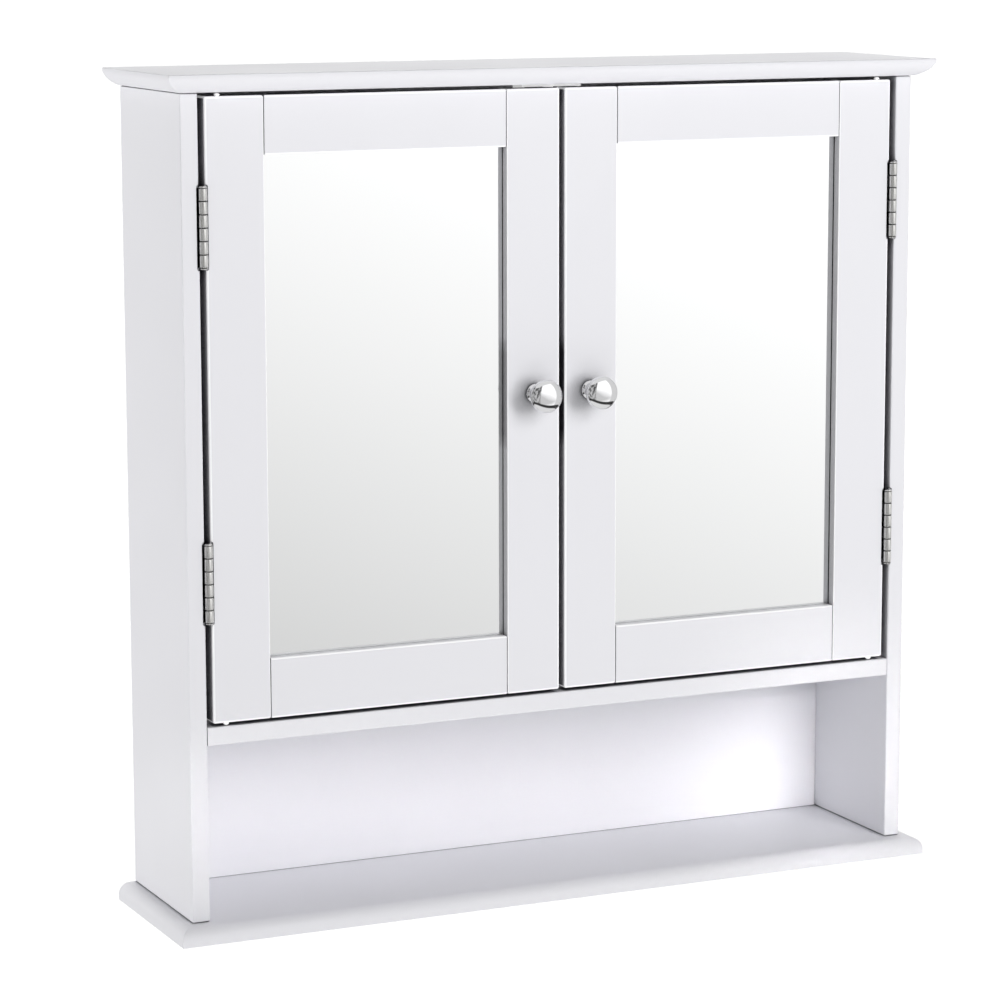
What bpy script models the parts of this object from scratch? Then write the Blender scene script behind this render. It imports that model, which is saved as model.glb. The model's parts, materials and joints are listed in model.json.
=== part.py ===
"""Hanging wall cabinet: two inset mirror doors over an open niche, in white lacquered board.

Run with: blender --background --python part.py

X runs to the right seen from the front, +Y runs back into the wall, +Z is up. The world origin is the middle
of the hang rail's rear face, which lies on the wall. Inside the script, lengths are metres and heights are
counted from the underside of the bottom board; one empty lowers the whole cabinet to the world origin.
"""

import math

import bmesh
import bpy
from mathutils import Matrix, Vector

MM = 0.001
FIT = 0.3 * MM  # gap kept between two pieces that touch

# Carcass
WIDTH = 560 * MM
DEPTH = 130 * MM
HEIGHT = 565 * MM
BOARD = 12 * MM  # thickness of every structural board
SIDE_OVERHANG = 12 * MM  # top and bottom boards past the side panels
FRONT_OVERHANG = 14 * MM
SHELF_TOP = 142 * MM  # top face of the fixed shelf, above the niche
BACK_THICK = 3 * MM
RAIL_THICK = 12 * MM
RAIL_TALL = 50 * MM
GROOVE_DEEP = 4 * MM
HOUSING_DEEP = 3 * MM  # the fixed shelf's ends sit in housings this deep
HOUSING_STOP = 8 * MM  # how far behind the front edge a housing stops
SOFT_EDGE = 0.7 * MM

INNER_X = WIDTH / 2 - SIDE_OVERHANG - BOARD  # inner face of a side panel
OUTER_X = INNER_X + BOARD
MIDDLE_X = INNER_X + BOARD / 2
FACE_Y = -(DEPTH - FRONT_OVERHANG)  # front edge of the sides, and the doors' front face
BACK_Y = -RAIL_THICK - 2 * FIT  # rear face of the back panel
BACK_FRONT_Y = BACK_Y - BACK_THICK
CEILING = HEIGHT - BOARD  # underside of the top board
HANG_Z = CEILING - FIT - RAIL_TALL / 2

# Edge moulding of the top board: a short upright fillet, then a quarter of a lean ellipse
FILLET = 2 * MM
ROUND_IN = 12 * MM
ROUND_POWER = 1.5  # 2 would be a true ellipse, 1 a straight chamfer
ROUND_STEPS = 10
NOSE_R = 8 * MM  # the bottom board's upper arris
NOSE_STEPS = 8

# Doors
HINGE_GAP = 4.5 * MM
CENTRE_GAP = 4 * MM
DOOR_THICK = 15 * MM
DOOR_BOTTOM = SHELF_TOP + 2.3 * MM
DOOR_TOP = CEILING - 2.5 * MM
HINGE_STILE = 40 * MM
MEETING_STILE = 38.5 * MM
TOP_RAIL = 38 * MM
BOTTOM_RAIL = 40 * MM
LIP = 7 * MM  # front lip that the mirror lies against
REBATE_WIDE = 8 * MM
MIRROR_THICK = 3 * MM
BACKER_THICK = 3.8 * MM
TENON_LONG = 10 * MM
TENON_THICK = 6 * MM
TENON_TALL = 20 * MM

# Hinges: the axis stands just in front of the door's face, in the middle of the gap
HINGE_X = INNER_X - HINGE_GAP / 2
HINGE_Y = FACE_Y - 1.5 * MM
HINGE_HEIGHTS = {"upper": DOOR_TOP - 83 * MM, "lower": DOOR_BOTTOM + 93 * MM}
KNUCKLES = 6
KNUCKLE_LONG = 8.2 * MM
KNUCKLE_PITCH = KNUCKLE_LONG + FIT
HINGE_LONG = KNUCKLES * KNUCKLE_PITCH - FIT
BARREL_R = 2.8 * MM
BORE_R = 1.5 * MM
PIN_R = 1.35 * MM
LEAF_THICK = 1.0 * MM
LEAF_NEAR = 3.2 * MM  # from the axis to the leaf's front edge
LEAF_FAR = 14.5 * MM
LEAF_SCREWS = (-17 * MM, 17 * MM)
LEAF_SCREW_Y = 9.5 * MM
GAIN = 1.1 * MM  # depth of the recess that a leaf lies in

# Door furniture
KNOB_FROM_EDGE = 18.5 * MM
KNOB_Z = 348 * MM
KNOB_SCREW_R = 1.9 * MM
KNOB_HOLE_R = 2.2 * MM
BUTTON_FROM_EDGE = 9.6 * MM
BUTTON_BEHIND_FRONT = 2.8 * MM
CATCH_HALF = 22 * MM
CATCH_TALL = 12.4 * MM
STRIKE_THICK = 1.0 * MM

# Loose shelf on pegs
PEG_HEIGHTS = (286 * MM, 336 * MM, 386 * MM)
PEG_LEVEL = 1  # which of the heights carries the shelf
PEG_YS = (-80 * MM, -32 * MM)
PEG_R = 2.5 * MM
PEG_COLLAR = 1.0 * MM  # the shelf ends short of the collars and rests on the stubs
SHELF_FRONT = -95 * MM

# Carcass fastenings
CAM_Y = -92 * MM
CAM_DROP = 24 * MM  # from the side panel's top end to the cam's centre
CAM_R = 5.8 * MM
BOLT_HOLE_R = 2.8 * MM
CAM_DEEP = 9 * MM
DOWEL_Y = -40 * MM
DOWEL_R = 3 * MM
SCREW_YS = (-92 * MM, -35 * MM)
SCREW_HOLE_R = 2.4 * MM
HANGER_X = 190 * MM
HANGER_HALF = 9 * MM
HANGER_TALL = 40 * MM
HANGER_THICK = 1.5 * MM

SIDES = {"left": -1, "right": 1}


# ---------------------------------------------------------------- scene and materials
def clear_scene():
    for old in list(bpy.data.objects):
        bpy.data.objects.remove(old)


def make_material(name, colour, roughness, metallic=0.0):
    made = bpy.data.materials.new(name)
    made.use_nodes = True
    shader = made.node_tree.nodes["Principled BSDF"]
    shader.inputs["Base Color"].default_value = (*colour, 1.0)
    shader.inputs["Roughness"].default_value = roughness
    shader.inputs["Metallic"].default_value = metallic
    made.diffuse_color = (*colour, 1.0)
    return made


def make_materials():
    return {
        "lacquer": make_material("white_lacquer", (0.86, 0.86, 0.88), 0.35),
        "board": make_material("hardboard", (0.62, 0.47, 0.32), 0.75),
        "mirror": make_material("mirror_glass", (0.92, 0.94, 0.94), 0.02, 1.0),
        "chrome": make_material("chrome", (0.80, 0.80, 0.82), 0.06, 1.0),
        "nickel": make_material("nickel_steel", (0.62, 0.61, 0.58), 0.30, 1.0),
        "zinc": make_material("zinc", (0.66, 0.67, 0.69), 0.38, 1.0),
        "nylon": make_material("white_nylon", (0.90, 0.90, 0.90), 0.45),
        "ferrite": make_material("ferrite", (0.08, 0.08, 0.09), 0.55),
        "beech": make_material("beech", (0.72, 0.55, 0.36), 0.65),
    }


def make_empty(name, location, parent=None):
    empty = bpy.data.objects.new(name, None)
    empty.empty_display_size = 0.02
    empty.location = location
    empty.parent = parent
    bpy.context.scene.collection.objects.link(empty)
    return empty


# ---------------------------------------------------------------- shapes in a bmesh
def add_box(bm, corner, opposite):
    """A box between two corners, given in any order."""
    low = Vector(map(min, corner, opposite))
    high = Vector(map(max, corner, opposite))
    place = Matrix.Translation((low + high) / 2) @ Matrix.Diagonal((*(high - low), 1.0))
    bmesh.ops.create_cube(bm, size=1.0, matrix=place)


def add_rod(bm, start, end, radius, end_radius=None, segments=16):
    """A cylinder from start to end, or a cone where end_radius differs."""
    start, end = Vector(start), Vector(end)
    along = end - start
    turn = along.to_track_quat("Z", "Y").to_matrix().to_4x4()
    bmesh.ops.create_cone(
        bm,
        cap_ends=True,
        segments=segments,
        radius1=radius,
        radius2=radius if end_radius is None else end_radius,
        depth=along.length,
        matrix=Matrix.Translation((start + end) / 2) @ turn,
    )


def add_turned(bm, profile, base, direction, segments=16):
    """A turned solid: profile holds (radius, distance) pairs from the axis back to the axis."""
    points = [bm.verts.new((radius, 0.0, along)) for radius, along in profile]
    edges = [bm.edges.new(pair) for pair in zip(points, points[1:])]
    bmesh.ops.spin(
        bm,
        geom=points + edges,
        cent=(0, 0, 0),
        axis=(0, 0, 1),
        angle=math.tau,
        steps=segments,
        use_merge=True,
    )
    bmesh.ops.remove_doubles(bm, verts=bm.verts, dist=1e-6)
    turn = Vector(direction).to_track_quat("Z", "Y").to_matrix().to_4x4()
    bmesh.ops.transform(bm, matrix=Matrix.Translation(base) @ turn, verts=bm.verts)


def object_from(bm, name, material=None, parent=None):
    """Closes the bmesh into a named object; with no material it's a hidden cutter."""
    bmesh.ops.recalc_face_normals(bm, faces=bm.faces)
    mesh = bpy.data.meshes.new(name)
    bm.to_mesh(mesh)
    bm.free()
    return place_mesh(mesh, name, material, parent)


def place_mesh(mesh, name, material=None, parent=None, location=(0, 0, 0)):
    made = bpy.data.objects.new(name, mesh)
    made.parent = parent
    made.location = location
    bpy.context.scene.collection.objects.link(made)
    if material is None:
        made.hide_render = True
        made.display_type = "WIRE"
    elif not mesh.materials:
        mesh.materials.append(material)
    return made


# ---------------------------------------------------------------- modifiers
def soften(piece, width=SOFT_EDGE, segments=2):
    """Rounds every sharp edge."""
    bevel = piece.modifiers.new("soft_edges", "BEVEL")
    bevel.width = width
    bevel.segments = segments
    bevel.limit_method = "ANGLE"
    bevel.angle_limit = math.radians(50)


def combine(piece, operation, fill):
    """Booleans a helper shape into piece; fill(bm) draws the helper in piece's own coordinates."""
    bm = bmesh.new()
    fill(bm)
    helper = object_from(bm, f"{piece.name}_{operation.lower()}_{len(piece.modifiers)}")
    helper.parent = piece
    boolean = piece.modifiers.new(operation.lower(), "BOOLEAN")
    boolean.operation = operation
    boolean.solver = "EXACT"
    boolean.object = helper


def cut(piece, fill):
    combine(piece, "DIFFERENCE", fill)


def baked(piece):
    """The piece's mesh with its modifiers applied; the piece and its helpers are removed."""
    bpy.context.view_layer.update()
    graph = bpy.context.evaluated_depsgraph_get()
    mesh = bpy.data.meshes.new_from_object(piece.evaluated_get(graph), depsgraph=graph)
    for helper in list(piece.children):
        bpy.data.objects.remove(helper)
    bpy.data.objects.remove(piece)
    return mesh


def smooth(mesh, angle=35):
    mesh.shade_smooth()
    mesh.set_sharp_from_angle(angle=math.radians(angle))
    return mesh


def make_board(name, corner, opposite, material, parent, edge=SOFT_EDGE):
    bm = bmesh.new()
    add_box(bm, corner, opposite)
    piece = object_from(bm, name, material, parent)
    if edge:
        soften(piece, edge)
    return piece


def make_turned(name, profile, base, direction, material, parent, segments=16):
    bm = bmesh.new()
    add_turned(bm, profile, base, direction, segments)
    piece = object_from(bm, name, material, parent)
    smooth(piece.data)
    return piece


# ---------------------------------------------------------------- carcass
def hollow_moulding():
    """(inset, drop) pairs of the top board, from its wide upper face to its narrow lower one."""
    pairs = [(0.0, 0.0)]
    for step in range(ROUND_STEPS + 1):
        angle = math.pi / 2 * step / ROUND_STEPS
        inset = ROUND_IN * (1 - max(math.cos(angle), 0) ** (2 / ROUND_POWER))
        pairs.append((inset, FILLET + (BOARD - FILLET) * math.sin(angle) ** (2 / ROUND_POWER)))
    return pairs


def nose_moulding():
    """(inset, rise) pairs of the bottom board, from its wide lower face over a quarter round."""
    pairs = [(0.0, 0.0)]
    for step in range(NOSE_STEPS + 1):
        angle = math.pi / 2 * step / NOSE_STEPS
        pairs.append((NOSE_R * (1 - math.cos(angle)), BOARD - NOSE_R * (1 - math.sin(angle))))
    return pairs


def make_moulded_board(name, moulding, start_z, direction, material, parent):
    """A board whose front and ends follow the moulding; its rear edge stays square on the wall."""
    bm = bmesh.new()
    rings = []
    for inset, drop in moulding:
        half, z = WIDTH / 2 - inset, start_z + direction * drop
        corners = [(-half, 0, z), (half, 0, z), (half, inset - DEPTH, z), (-half, inset - DEPTH, z)]
        rings.append([bm.verts.new(corner) for corner in corners])
    bm.faces.new(rings[0])
    bm.faces.new(rings[-1])
    for ring, following in zip(rings, rings[1:]):
        for k in range(4):
            after = (k + 1) % 4
            bm.faces.new((ring[k], ring[after], following[after], following[k]))
    piece = object_from(bm, name, material, parent)
    smooth(piece.data)
    return piece


def screw_places():
    return [(sign * MIDDLE_X, y) for sign in SIDES.values() for y in SCREW_YS]


def make_top_and_bottom(mats, parent):
    top = make_moulded_board("top_board", hollow_moulding(), HEIGHT, -1, mats["lacquer"], parent)
    bottom = make_moulded_board("bottom_board", nose_moulding(), 0, 1, mats["lacquer"], parent)

    def top_holes(bm):
        for sign in SIDES.values():
            x, start, end = sign * MIDDLE_X, CEILING - MM, CEILING + 9 * MM
            add_rod(bm, (x, CAM_Y, start), (x, CAM_Y, end), BOLT_HOLE_R)
            add_rod(bm, (x, DOWEL_Y, start), (x, DOWEL_Y, end), DOWEL_R + FIT)

    def screw_holes(bm):
        for x, y in screw_places():
            add_rod(bm, (x, y, -MM), (x, y, BOARD + MM), SCREW_HOLE_R)

    def countersinks(bm):
        for x, y in screw_places():
            add_rod(bm, (x, y, -MM), (x, y, 3.3 * MM), 5.9 * MM, SCREW_HOLE_R)

    cut(top, top_holes)
    cut(bottom, screw_holes)
    cut(bottom, countersinks)


def make_side(name, sign, mats, parent):
    inner, outer = sign * INNER_X, sign * OUTER_X
    side = make_board(
        name, (inner, FACE_Y, BOARD + FIT), (outer, 0, CEILING - FIT), mats["lacquer"], parent
    )

    def inward(depth):
        """x at a depth under the inner face; a negative depth lies outside it."""
        return sign * (INNER_X + depth)

    def slots(bm):
        groove_back = BACK_Y + FIT
        add_box(bm, (inward(-MM), BACK_FRONT_Y - FIT, 0), (inward(GROOVE_DEEP), groove_back, HEIGHT))

    def housing(bm):
        add_box(
            bm,
            (inward(-MM), FACE_Y + HOUSING_STOP, SHELF_TOP - BOARD - FIT),
            (inward(HOUSING_DEEP + FIT), BACK_FRONT_Y - FIT / 2, SHELF_TOP + FIT),
        )

    def hinge_gains(bm):
        for z in HINGE_HEIGHTS.values():
            half = HINGE_LONG / 2 + FIT
            back = HINGE_Y + LEAF_FAR + FIT
            add_box(bm, (inward(-MM), FACE_Y - MM, z - half), (inward(GAIN), back, z + half))

    def holes(bm):
        for y in PEG_YS:
            for z in PEG_HEIGHTS:
                add_rod(bm, (inward(-MM), y, z), (inward(9 * MM), y, z), PEG_R + FIT, segments=12)
        cam_z = CEILING - CAM_DROP
        add_rod(bm, (inward(-MM), CAM_Y, cam_z), (inward(CAM_DEEP + FIT), CAM_Y, cam_z), CAM_R + FIT)

    def end_holes(bm):
        x = sign * MIDDLE_X
        add_rod(bm, (x, CAM_Y, CEILING - CAM_DROP), (x, CAM_Y, HEIGHT), BOLT_HOLE_R)
        add_rod(bm, (x, DOWEL_Y, CEILING - 21 * MM), (x, DOWEL_Y, HEIGHT), DOWEL_R + FIT)
        for y in SCREW_YS:
            add_rod(bm, (x, y, 0), (x, y, 41 * MM), SCREW_HOLE_R, segments=12)

    for shape in (slots, housing, hinge_gains, holes, end_holes):
        cut(side, shape)


def make_shelves_and_back(mats, parent):
    reach = INNER_X + HOUSING_DEEP
    shelf_back = BACK_FRONT_Y - FIT
    shelf = make_board(
        "fixed_shelf",
        (-reach, FACE_Y, SHELF_TOP - BOARD),
        (reach, shelf_back, SHELF_TOP),
        mats["lacquer"],
        parent,
    )

    def front_notches(bm):
        for sign in SIDES.values():
            add_box(
                bm,
                (sign * (INNER_X - FIT), FACE_Y - MM, SHELF_TOP - 2 * BOARD),
                (sign * (reach + MM), FACE_Y + HOUSING_STOP + FIT, SHELF_TOP + BOARD),
            )

    cut(shelf, front_notches)
    panel_x = INNER_X + GROOVE_DEEP - FIT
    make_board(
        "back_panel",
        (-panel_x, BACK_FRONT_Y, BOARD + FIT),
        (panel_x, BACK_Y, CEILING - FIT),
        mats["lacquer"],
        parent,
        edge=0,
    )
    loose_z = PEG_HEIGHTS[PEG_LEVEL] + PEG_R + FIT
    loose_x = INNER_X - PEG_COLLAR - 2 * FIT
    make_board(
        "inner_shelf",
        (-loose_x, SHELF_FRONT, loose_z),
        (loose_x, shelf_back - FIT, loose_z + BOARD),
        mats["lacquer"],
        parent,
    )
    for side, sign in SIDES.items():
        for row, y in zip(("front", "rear"), PEG_YS):
            make_shelf_peg(f"shelf_peg_{side}_{row}", sign, y, mats, parent)


def make_shelf_peg(name, sign, y, mats, parent):
    """A turned peg: a stem in the side panel, a collar against it and a stub under the shelf."""
    stem, collar, stub = 8 * MM, PEG_COLLAR, 8 * MM
    profile = [
        (0, 0),
        (PEG_R, 0),
        (PEG_R, stem),
        (4 * MM, stem),
        (4 * MM, stem + collar),
        (PEG_R, stem + collar),
        (PEG_R, stem + collar + stub),
        (0, stem + collar + stub),
    ]
    base = (sign * (INNER_X - FIT + stem), y, PEG_HEIGHTS[PEG_LEVEL])
    make_turned(name, profile, base, (-sign, 0, 0), mats["nickel"], parent, segments=12)


def make_hang_rail(mats, parent):
    rail = make_board(
        "hang_rail",
        (-INNER_X + FIT, -RAIL_THICK, HANG_Z - RAIL_TALL / 2),
        (INNER_X - FIT, 0, HANG_Z + RAIL_TALL / 2),
        mats["lacquer"],
        parent,
        edge=0,
    )

    def pockets(bm):
        for sign in SIDES.values():
            half, tall = HANGER_HALF + FIT, HANGER_TALL / 2 + FIT
            x = sign * HANGER_X
            add_box(bm, (x - half, -HANGER_THICK - 2 * FIT, HANG_Z - tall), (x + half, MM, HANG_Z + tall))

    def cavities(bm):
        for sign in SIDES.values():
            x = sign * HANGER_X
            add_box(bm, (x - 6.5 * MM, -9 * MM, HANG_Z - 13 * MM), (x + 6.5 * MM, MM, HANG_Z + 11 * MM))

    cut(rail, pockets)
    cut(rail, cavities)
    for side, sign in SIDES.items():
        make_hanger(f"keyhole_hanger_{side}", sign, mats, parent)


def make_hanger(name, sign, mats, parent):
    """A steel plate let into the rail, with a keyhole for the head of a wall screw and two fixing holes."""
    x, rear = sign * HANGER_X, -FIT / 3
    plate = make_board(
        name,
        (x - HANGER_HALF, rear - HANGER_THICK, HANG_Z - HANGER_TALL / 2),
        (x + HANGER_HALF, rear, HANG_Z + HANGER_TALL / 2),
        mats["zinc"],
        parent,
        edge=0,
    )
    through = (-5 * MM, 5 * MM)

    def keyhole_head(bm):
        add_rod(bm, (x, through[0], HANG_Z - 6 * MM), (x, through[1], HANG_Z - 6 * MM), 5.5 * MM)

    def keyhole_slot(bm):
        add_box(bm, (x - 3 * MM, through[0], HANG_Z - 6 * MM), (x + 3 * MM, through[1], HANG_Z + 8 * MM))

    def fixing_holes(bm):
        for z in (HANG_Z - 16 * MM, HANG_Z + 16 * MM):
            add_rod(bm, (x, through[0], z), (x, through[1], z), 1.8 * MM, segments=12)

    for shape in (keyhole_head, keyhole_slot, fixing_holes):
        cut(plate, shape)


def make_fastenings(mats, parent):
    for side, sign in SIDES.items():
        make_cam(side, sign, mats, parent)
        dowel_low, dowel_high = CEILING - 20 * MM, CEILING + 8 * MM
        profile = [
            (0, 0),
            (DOWEL_R - 0.6 * MM, 0),
            (DOWEL_R, MM),
            (DOWEL_R, dowel_high - dowel_low - MM),
            (DOWEL_R - 0.6 * MM, dowel_high - dowel_low),
            (0, dowel_high - dowel_low),
        ]
        base = (sign * MIDDLE_X, DOWEL_Y, dowel_low)
        make_turned(f"top_dowel_{side}", profile, base, (0, 0, 1), mats["beech"], parent, segments=12)
        for row, y in zip(("front", "rear"), SCREW_YS):
            make_board_screw(f"bottom_screw_{side}_{row}", sign, y, mats, parent)


def make_board_screw(name, sign, y, mats, parent):
    """A countersunk screw from under the bottom board into the side panel's end."""
    head_r, shank_r, long = 4.3 * MM, 2.0 * MM, 38 * MM
    profile = [(0, 0), (head_r, 0), (shank_r, 2.8 * MM), (shank_r, long - 4 * MM), (0, long)]
    make_turned(name, profile, (sign * MIDDLE_X, y, 0.5 * MM), (0, 0, 1), mats["zinc"], parent, segments=12)


def make_cam(side, sign, mats, parent):
    """A cam in the side panel's inner face and the bolt that it draws down from the top board."""
    centre_z = CEILING - CAM_DROP
    inner = sign * (INNER_X + FIT)
    bm = bmesh.new()
    add_rod(bm, (inner, CAM_Y, centre_z), (inner + sign * (CAM_DEEP - FIT), CAM_Y, centre_z), CAM_R)
    cam = object_from(bm, f"cam_nut_{side}", mats["zinc"], parent)

    def bolt_way(bm):
        x = sign * MIDDLE_X
        add_rod(bm, (x, CAM_Y, centre_z - 2.5 * MM), (x, CAM_Y, CEILING), 2.4 * MM)

    def driver_slot(bm):
        add_box(
            bm,
            (inner - sign * MM, CAM_Y - 3.5 * MM, centre_z - 0.6 * MM),
            (inner + sign * 1.2 * MM, CAM_Y + 3.5 * MM, centre_z + 0.6 * MM),
        )

    cut(cam, bolt_way)
    cut(cam, driver_slot)
    smooth(cam.data)
    low, neck, flange = centre_z - 2 * MM, 2 * MM, 3 * MM
    profile = [
        (0, 0),
        (2.0 * MM, 0),
        (2.0 * MM, neck),
        (1.3 * MM, neck),
        (1.3 * MM, neck + flange),
        (2.0 * MM, neck + flange),
        (2.0 * MM, CEILING - low),
        (2.4 * MM, CEILING - low),
        (2.4 * MM, CEILING - low + 7 * MM),
        (0, CEILING - low + 8 * MM),
    ]
    base = (sign * MIDDLE_X, CAM_Y, low)
    make_turned(f"cam_bolt_{side}", profile, base, (0, 0, 1), mats["zinc"], parent, segments=12)


def make_catch(mats, parent):
    """The double magnetic catch under the top board, behind the doors' meeting stiles."""
    front = HINGE_Y + 1.5 * MM + DOOR_THICK + FIT + STRIKE_THICK + FIT
    high = CEILING - FIT
    housing = make_board(
        "catch_housing",
        (-CATCH_HALF, front, high - CATCH_TALL),
        (CATCH_HALF, front + 15 * MM, high),
        mats["nylon"],
        parent,
    )
    wall = 2 * MM
    low_z, high_z = high - CATCH_TALL + wall, high - wall

    def pocket(bm):
        add_box(bm, (-CATCH_HALF + wall, front - MM, low_z), (CATCH_HALF - wall, front + 8 * MM, high_z))

    cut(housing, pocket)
    make_board(
        "catch_magnet",
        (-CATCH_HALF + wall + FIT, front + FIT, low_z + FIT),
        (CATCH_HALF - wall - FIT, front + 8 * MM - FIT, high_z - FIT),
        mats["ferrite"],
        parent,
        edge=0,
    )


# ---------------------------------------------------------------- hinges
def leaf_mesh(side_of_axis, first_knuckle):
    """One hinge leaf round the axis: every second knuckle, and the plate running back at side_of_axis."""
    near_x = side_of_axis * (BARREL_R - LEAF_THICK)
    far_x = side_of_axis * BARREL_R
    half = HINGE_LONG / 2
    bm = bmesh.new()
    add_box(bm, (near_x, LEAF_NEAR, -half), (far_x, LEAF_FAR, half))
    leaf = object_from(bm, "leaf_template", None)
    spans = []
    for index in range(first_knuckle, KNUCKLES, 2):
        top = half - index * KNUCKLE_PITCH
        spans.append((top - KNUCKLE_LONG, top))

    def webs(bm):
        for low, high in spans:
            add_box(bm, (near_x, 0, low), (far_x, LEAF_NEAR + FIT, high))

    def barrels(bm):
        for low, high in spans:
            add_rod(bm, (0, 0, low), (0, 0, high), BARREL_R, segments=20)

    def bore(bm):
        add_rod(bm, (0, 0, -half - MM), (0, 0, half + MM), BORE_R, segments=12)

    def screw_holes(bm):
        for z in LEAF_SCREWS:
            start = (near_x - side_of_axis * 0.2 * MM, LEAF_SCREW_Y, z)
            end = (far_x + side_of_axis * 0.5 * MM, LEAF_SCREW_Y, z)
            add_rod(bm, start, end, 2.9 * MM, 1.2 * MM, segments=12)

    combine(leaf, "UNION", webs)
    combine(leaf, "UNION", barrels)
    cut(leaf, bore)
    cut(leaf, screw_holes)
    return smooth(baked(leaf))


def make_hinges(mats, parent, doors):
    dome_tall = 1.3 * MM
    pin_half = HINGE_LONG / 2 + FIT
    dome_r = BARREL_R - 0.2 * MM
    dome = [
        (PIN_R, 0),
        (dome_r, 0),
        (dome_r * 0.92, dome_tall * 0.55),
        (dome_r * 0.6, dome_tall * 0.9),
        (0, dome_tall),
    ]
    profile = [(radius, -pin_half - along) for radius, along in reversed(dome)]
    profile += [(radius, pin_half + along) for radius, along in dome]
    for side, sign in SIDES.items():
        frame_leaf = leaf_mesh(sign, first_knuckle=0)
        door_leaf = leaf_mesh(-sign, first_knuckle=1)
        for level, z in HINGE_HEIGHTS.items():
            at = (sign * HINGE_X, HINGE_Y, z)
            place_mesh(frame_leaf, f"hinge_{side}_{level}_frame_leaf", mats["nickel"], parent, at)
            place_mesh(door_leaf, f"hinge_{side}_{level}_door_leaf", mats["nickel"], doors[side], (0, 0, z))
            pin_name = f"hinge_{side}_{level}_pin"
            make_turned(pin_name, profile, at, (0, 0, 1), mats["nickel"], parent, segments=12)


# ---------------------------------------------------------------- doors
class DoorPlan:
    """Places in a door's own frame: the origin is on the hinge axis, and u runs to the free edge."""

    def __init__(self, sign):
        self.sign = sign
        self.hinge_edge = HINGE_GAP / 2
        self.free_edge = HINGE_X - CENTRE_GAP / 2
        self.outer_joint = self.hinge_edge + HINGE_STILE
        self.inner_joint = self.free_edge - MEETING_STILE
        self.front = FACE_Y - HINGE_Y
        self.rear = self.front + DOOR_THICK
        self.open_low = DOOR_BOTTOM + BOTTOM_RAIL
        self.open_high = DOOR_TOP - TOP_RAIL

    def at(self, u, y, z):
        return (-self.sign * u, y, z)

    def tenon(self, rail_middle, u_near, u_far, spare=0.0):
        """Corners of a stub tenon, or of its mortise where spare is its clearance."""
        middle_y = self.front + LIP + MM
        half_y, half_z = TENON_THICK / 2 + spare, TENON_TALL / 2 + spare
        return (
            self.at(u_near, middle_y - half_y, rail_middle - half_z),
            self.at(u_far, middle_y + half_y, rail_middle + half_z),
        )


def make_door(side, sign, mats, pivot):
    plan = DoorPlan(sign)
    rail_middles = {
        "top": plan.open_high + REBATE_WIDE + 15 * MM,
        "bottom": plan.open_low - REBATE_WIDE - 16 * MM,
    }
    stiles = {
        "hinge_stile": (plan.hinge_edge, plan.outer_joint),
        "meeting_stile": (plan.inner_joint, plan.free_edge),
    }
    for part, (near, far) in stiles.items():
        make_stile(f"door_{side}_{part}", plan, near, far, rail_middles, mats, pivot)
    spans = {"top": (plan.open_high, DOOR_TOP), "bottom": (DOOR_BOTTOM, plan.open_low)}
    for level, (low, high) in spans.items():
        make_rail(f"door_{side}_{level}_rail", plan, low, high, rail_middles[level], mats, pivot)
    make_glazing(side, plan, mats, pivot)
    make_furniture(side, plan, mats, pivot)


def rebate(plan):
    """Draws the pocket that the mirror and its backing board lie in, routed from the rear."""

    def fill(bm):
        add_box(
            bm,
            plan.at(plan.outer_joint - REBATE_WIDE, plan.front + LIP, plan.open_low - REBATE_WIDE),
            plan.at(plan.inner_joint + REBATE_WIDE, plan.rear + MM, plan.open_high + REBATE_WIDE),
        )

    return fill


def make_stile(name, plan, u_near, u_far, rail_middles, mats, pivot):
    stile = make_board(
        name,
        plan.at(u_near, plan.front, DOOR_BOTTOM),
        plan.at(u_far, plan.rear, DOOR_TOP),
        mats["lacquer"],
        pivot,
    )
    on_hinge = u_near == plan.hinge_edge
    joint, inward = (u_far, -1) if on_hinge else (u_near, 1)

    def mortises(bm):
        for middle in rail_middles.values():
            add_box(bm, *plan.tenon(middle, joint - inward * MM, joint + inward * (TENON_LONG + FIT), FIT))

    def hinge_gains(bm):
        half = HINGE_LONG / 2 + FIT
        for z in HINGE_HEIGHTS.values():
            add_box(
                bm,
                plan.at(u_near - MM, plan.front - MM, z - half),
                plan.at(u_near + GAIN, LEAF_FAR + FIT, z + half),
            )

    def button_holes(bm):
        u, y = u_near + BUTTON_FROM_EDGE, plan.front + BUTTON_BEHIND_FRONT
        for end, depth in ((DOOR_TOP, -5 * MM), (DOOR_BOTTOM, 5 * MM)):
            add_rod(bm, plan.at(u, y, end - depth), plan.at(u, y, end + depth), 1.5 * MM, segments=12)

    def knob_hole(bm):
        u = plan.free_edge - KNOB_FROM_EDGE
        add_rod(bm, plan.at(u, plan.front - MM, KNOB_Z), plan.at(u, plan.rear + MM, KNOB_Z), KNOB_HOLE_R)

    cut(stile, rebate(plan))
    cut(stile, mortises)
    if on_hinge:
        cut(stile, hinge_gains)
        cut(stile, button_holes)
    else:
        cut(stile, knob_hole)


def make_rail(name, plan, low, high, middle, mats, pivot):
    rail = make_board(
        name,
        plan.at(plan.outer_joint + FIT, plan.front, low),
        plan.at(plan.inner_joint - FIT, plan.rear, high),
        mats["lacquer"],
        pivot,
    )

    def tenons(bm):
        for joint, outward in ((plan.outer_joint, -1), (plan.inner_joint, 1)):
            add_box(bm, *plan.tenon(middle, joint - outward * 3 * MM, joint + outward * TENON_LONG))

    cut(rail, rebate(plan))
    combine(rail, "UNION", tenons)


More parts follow.
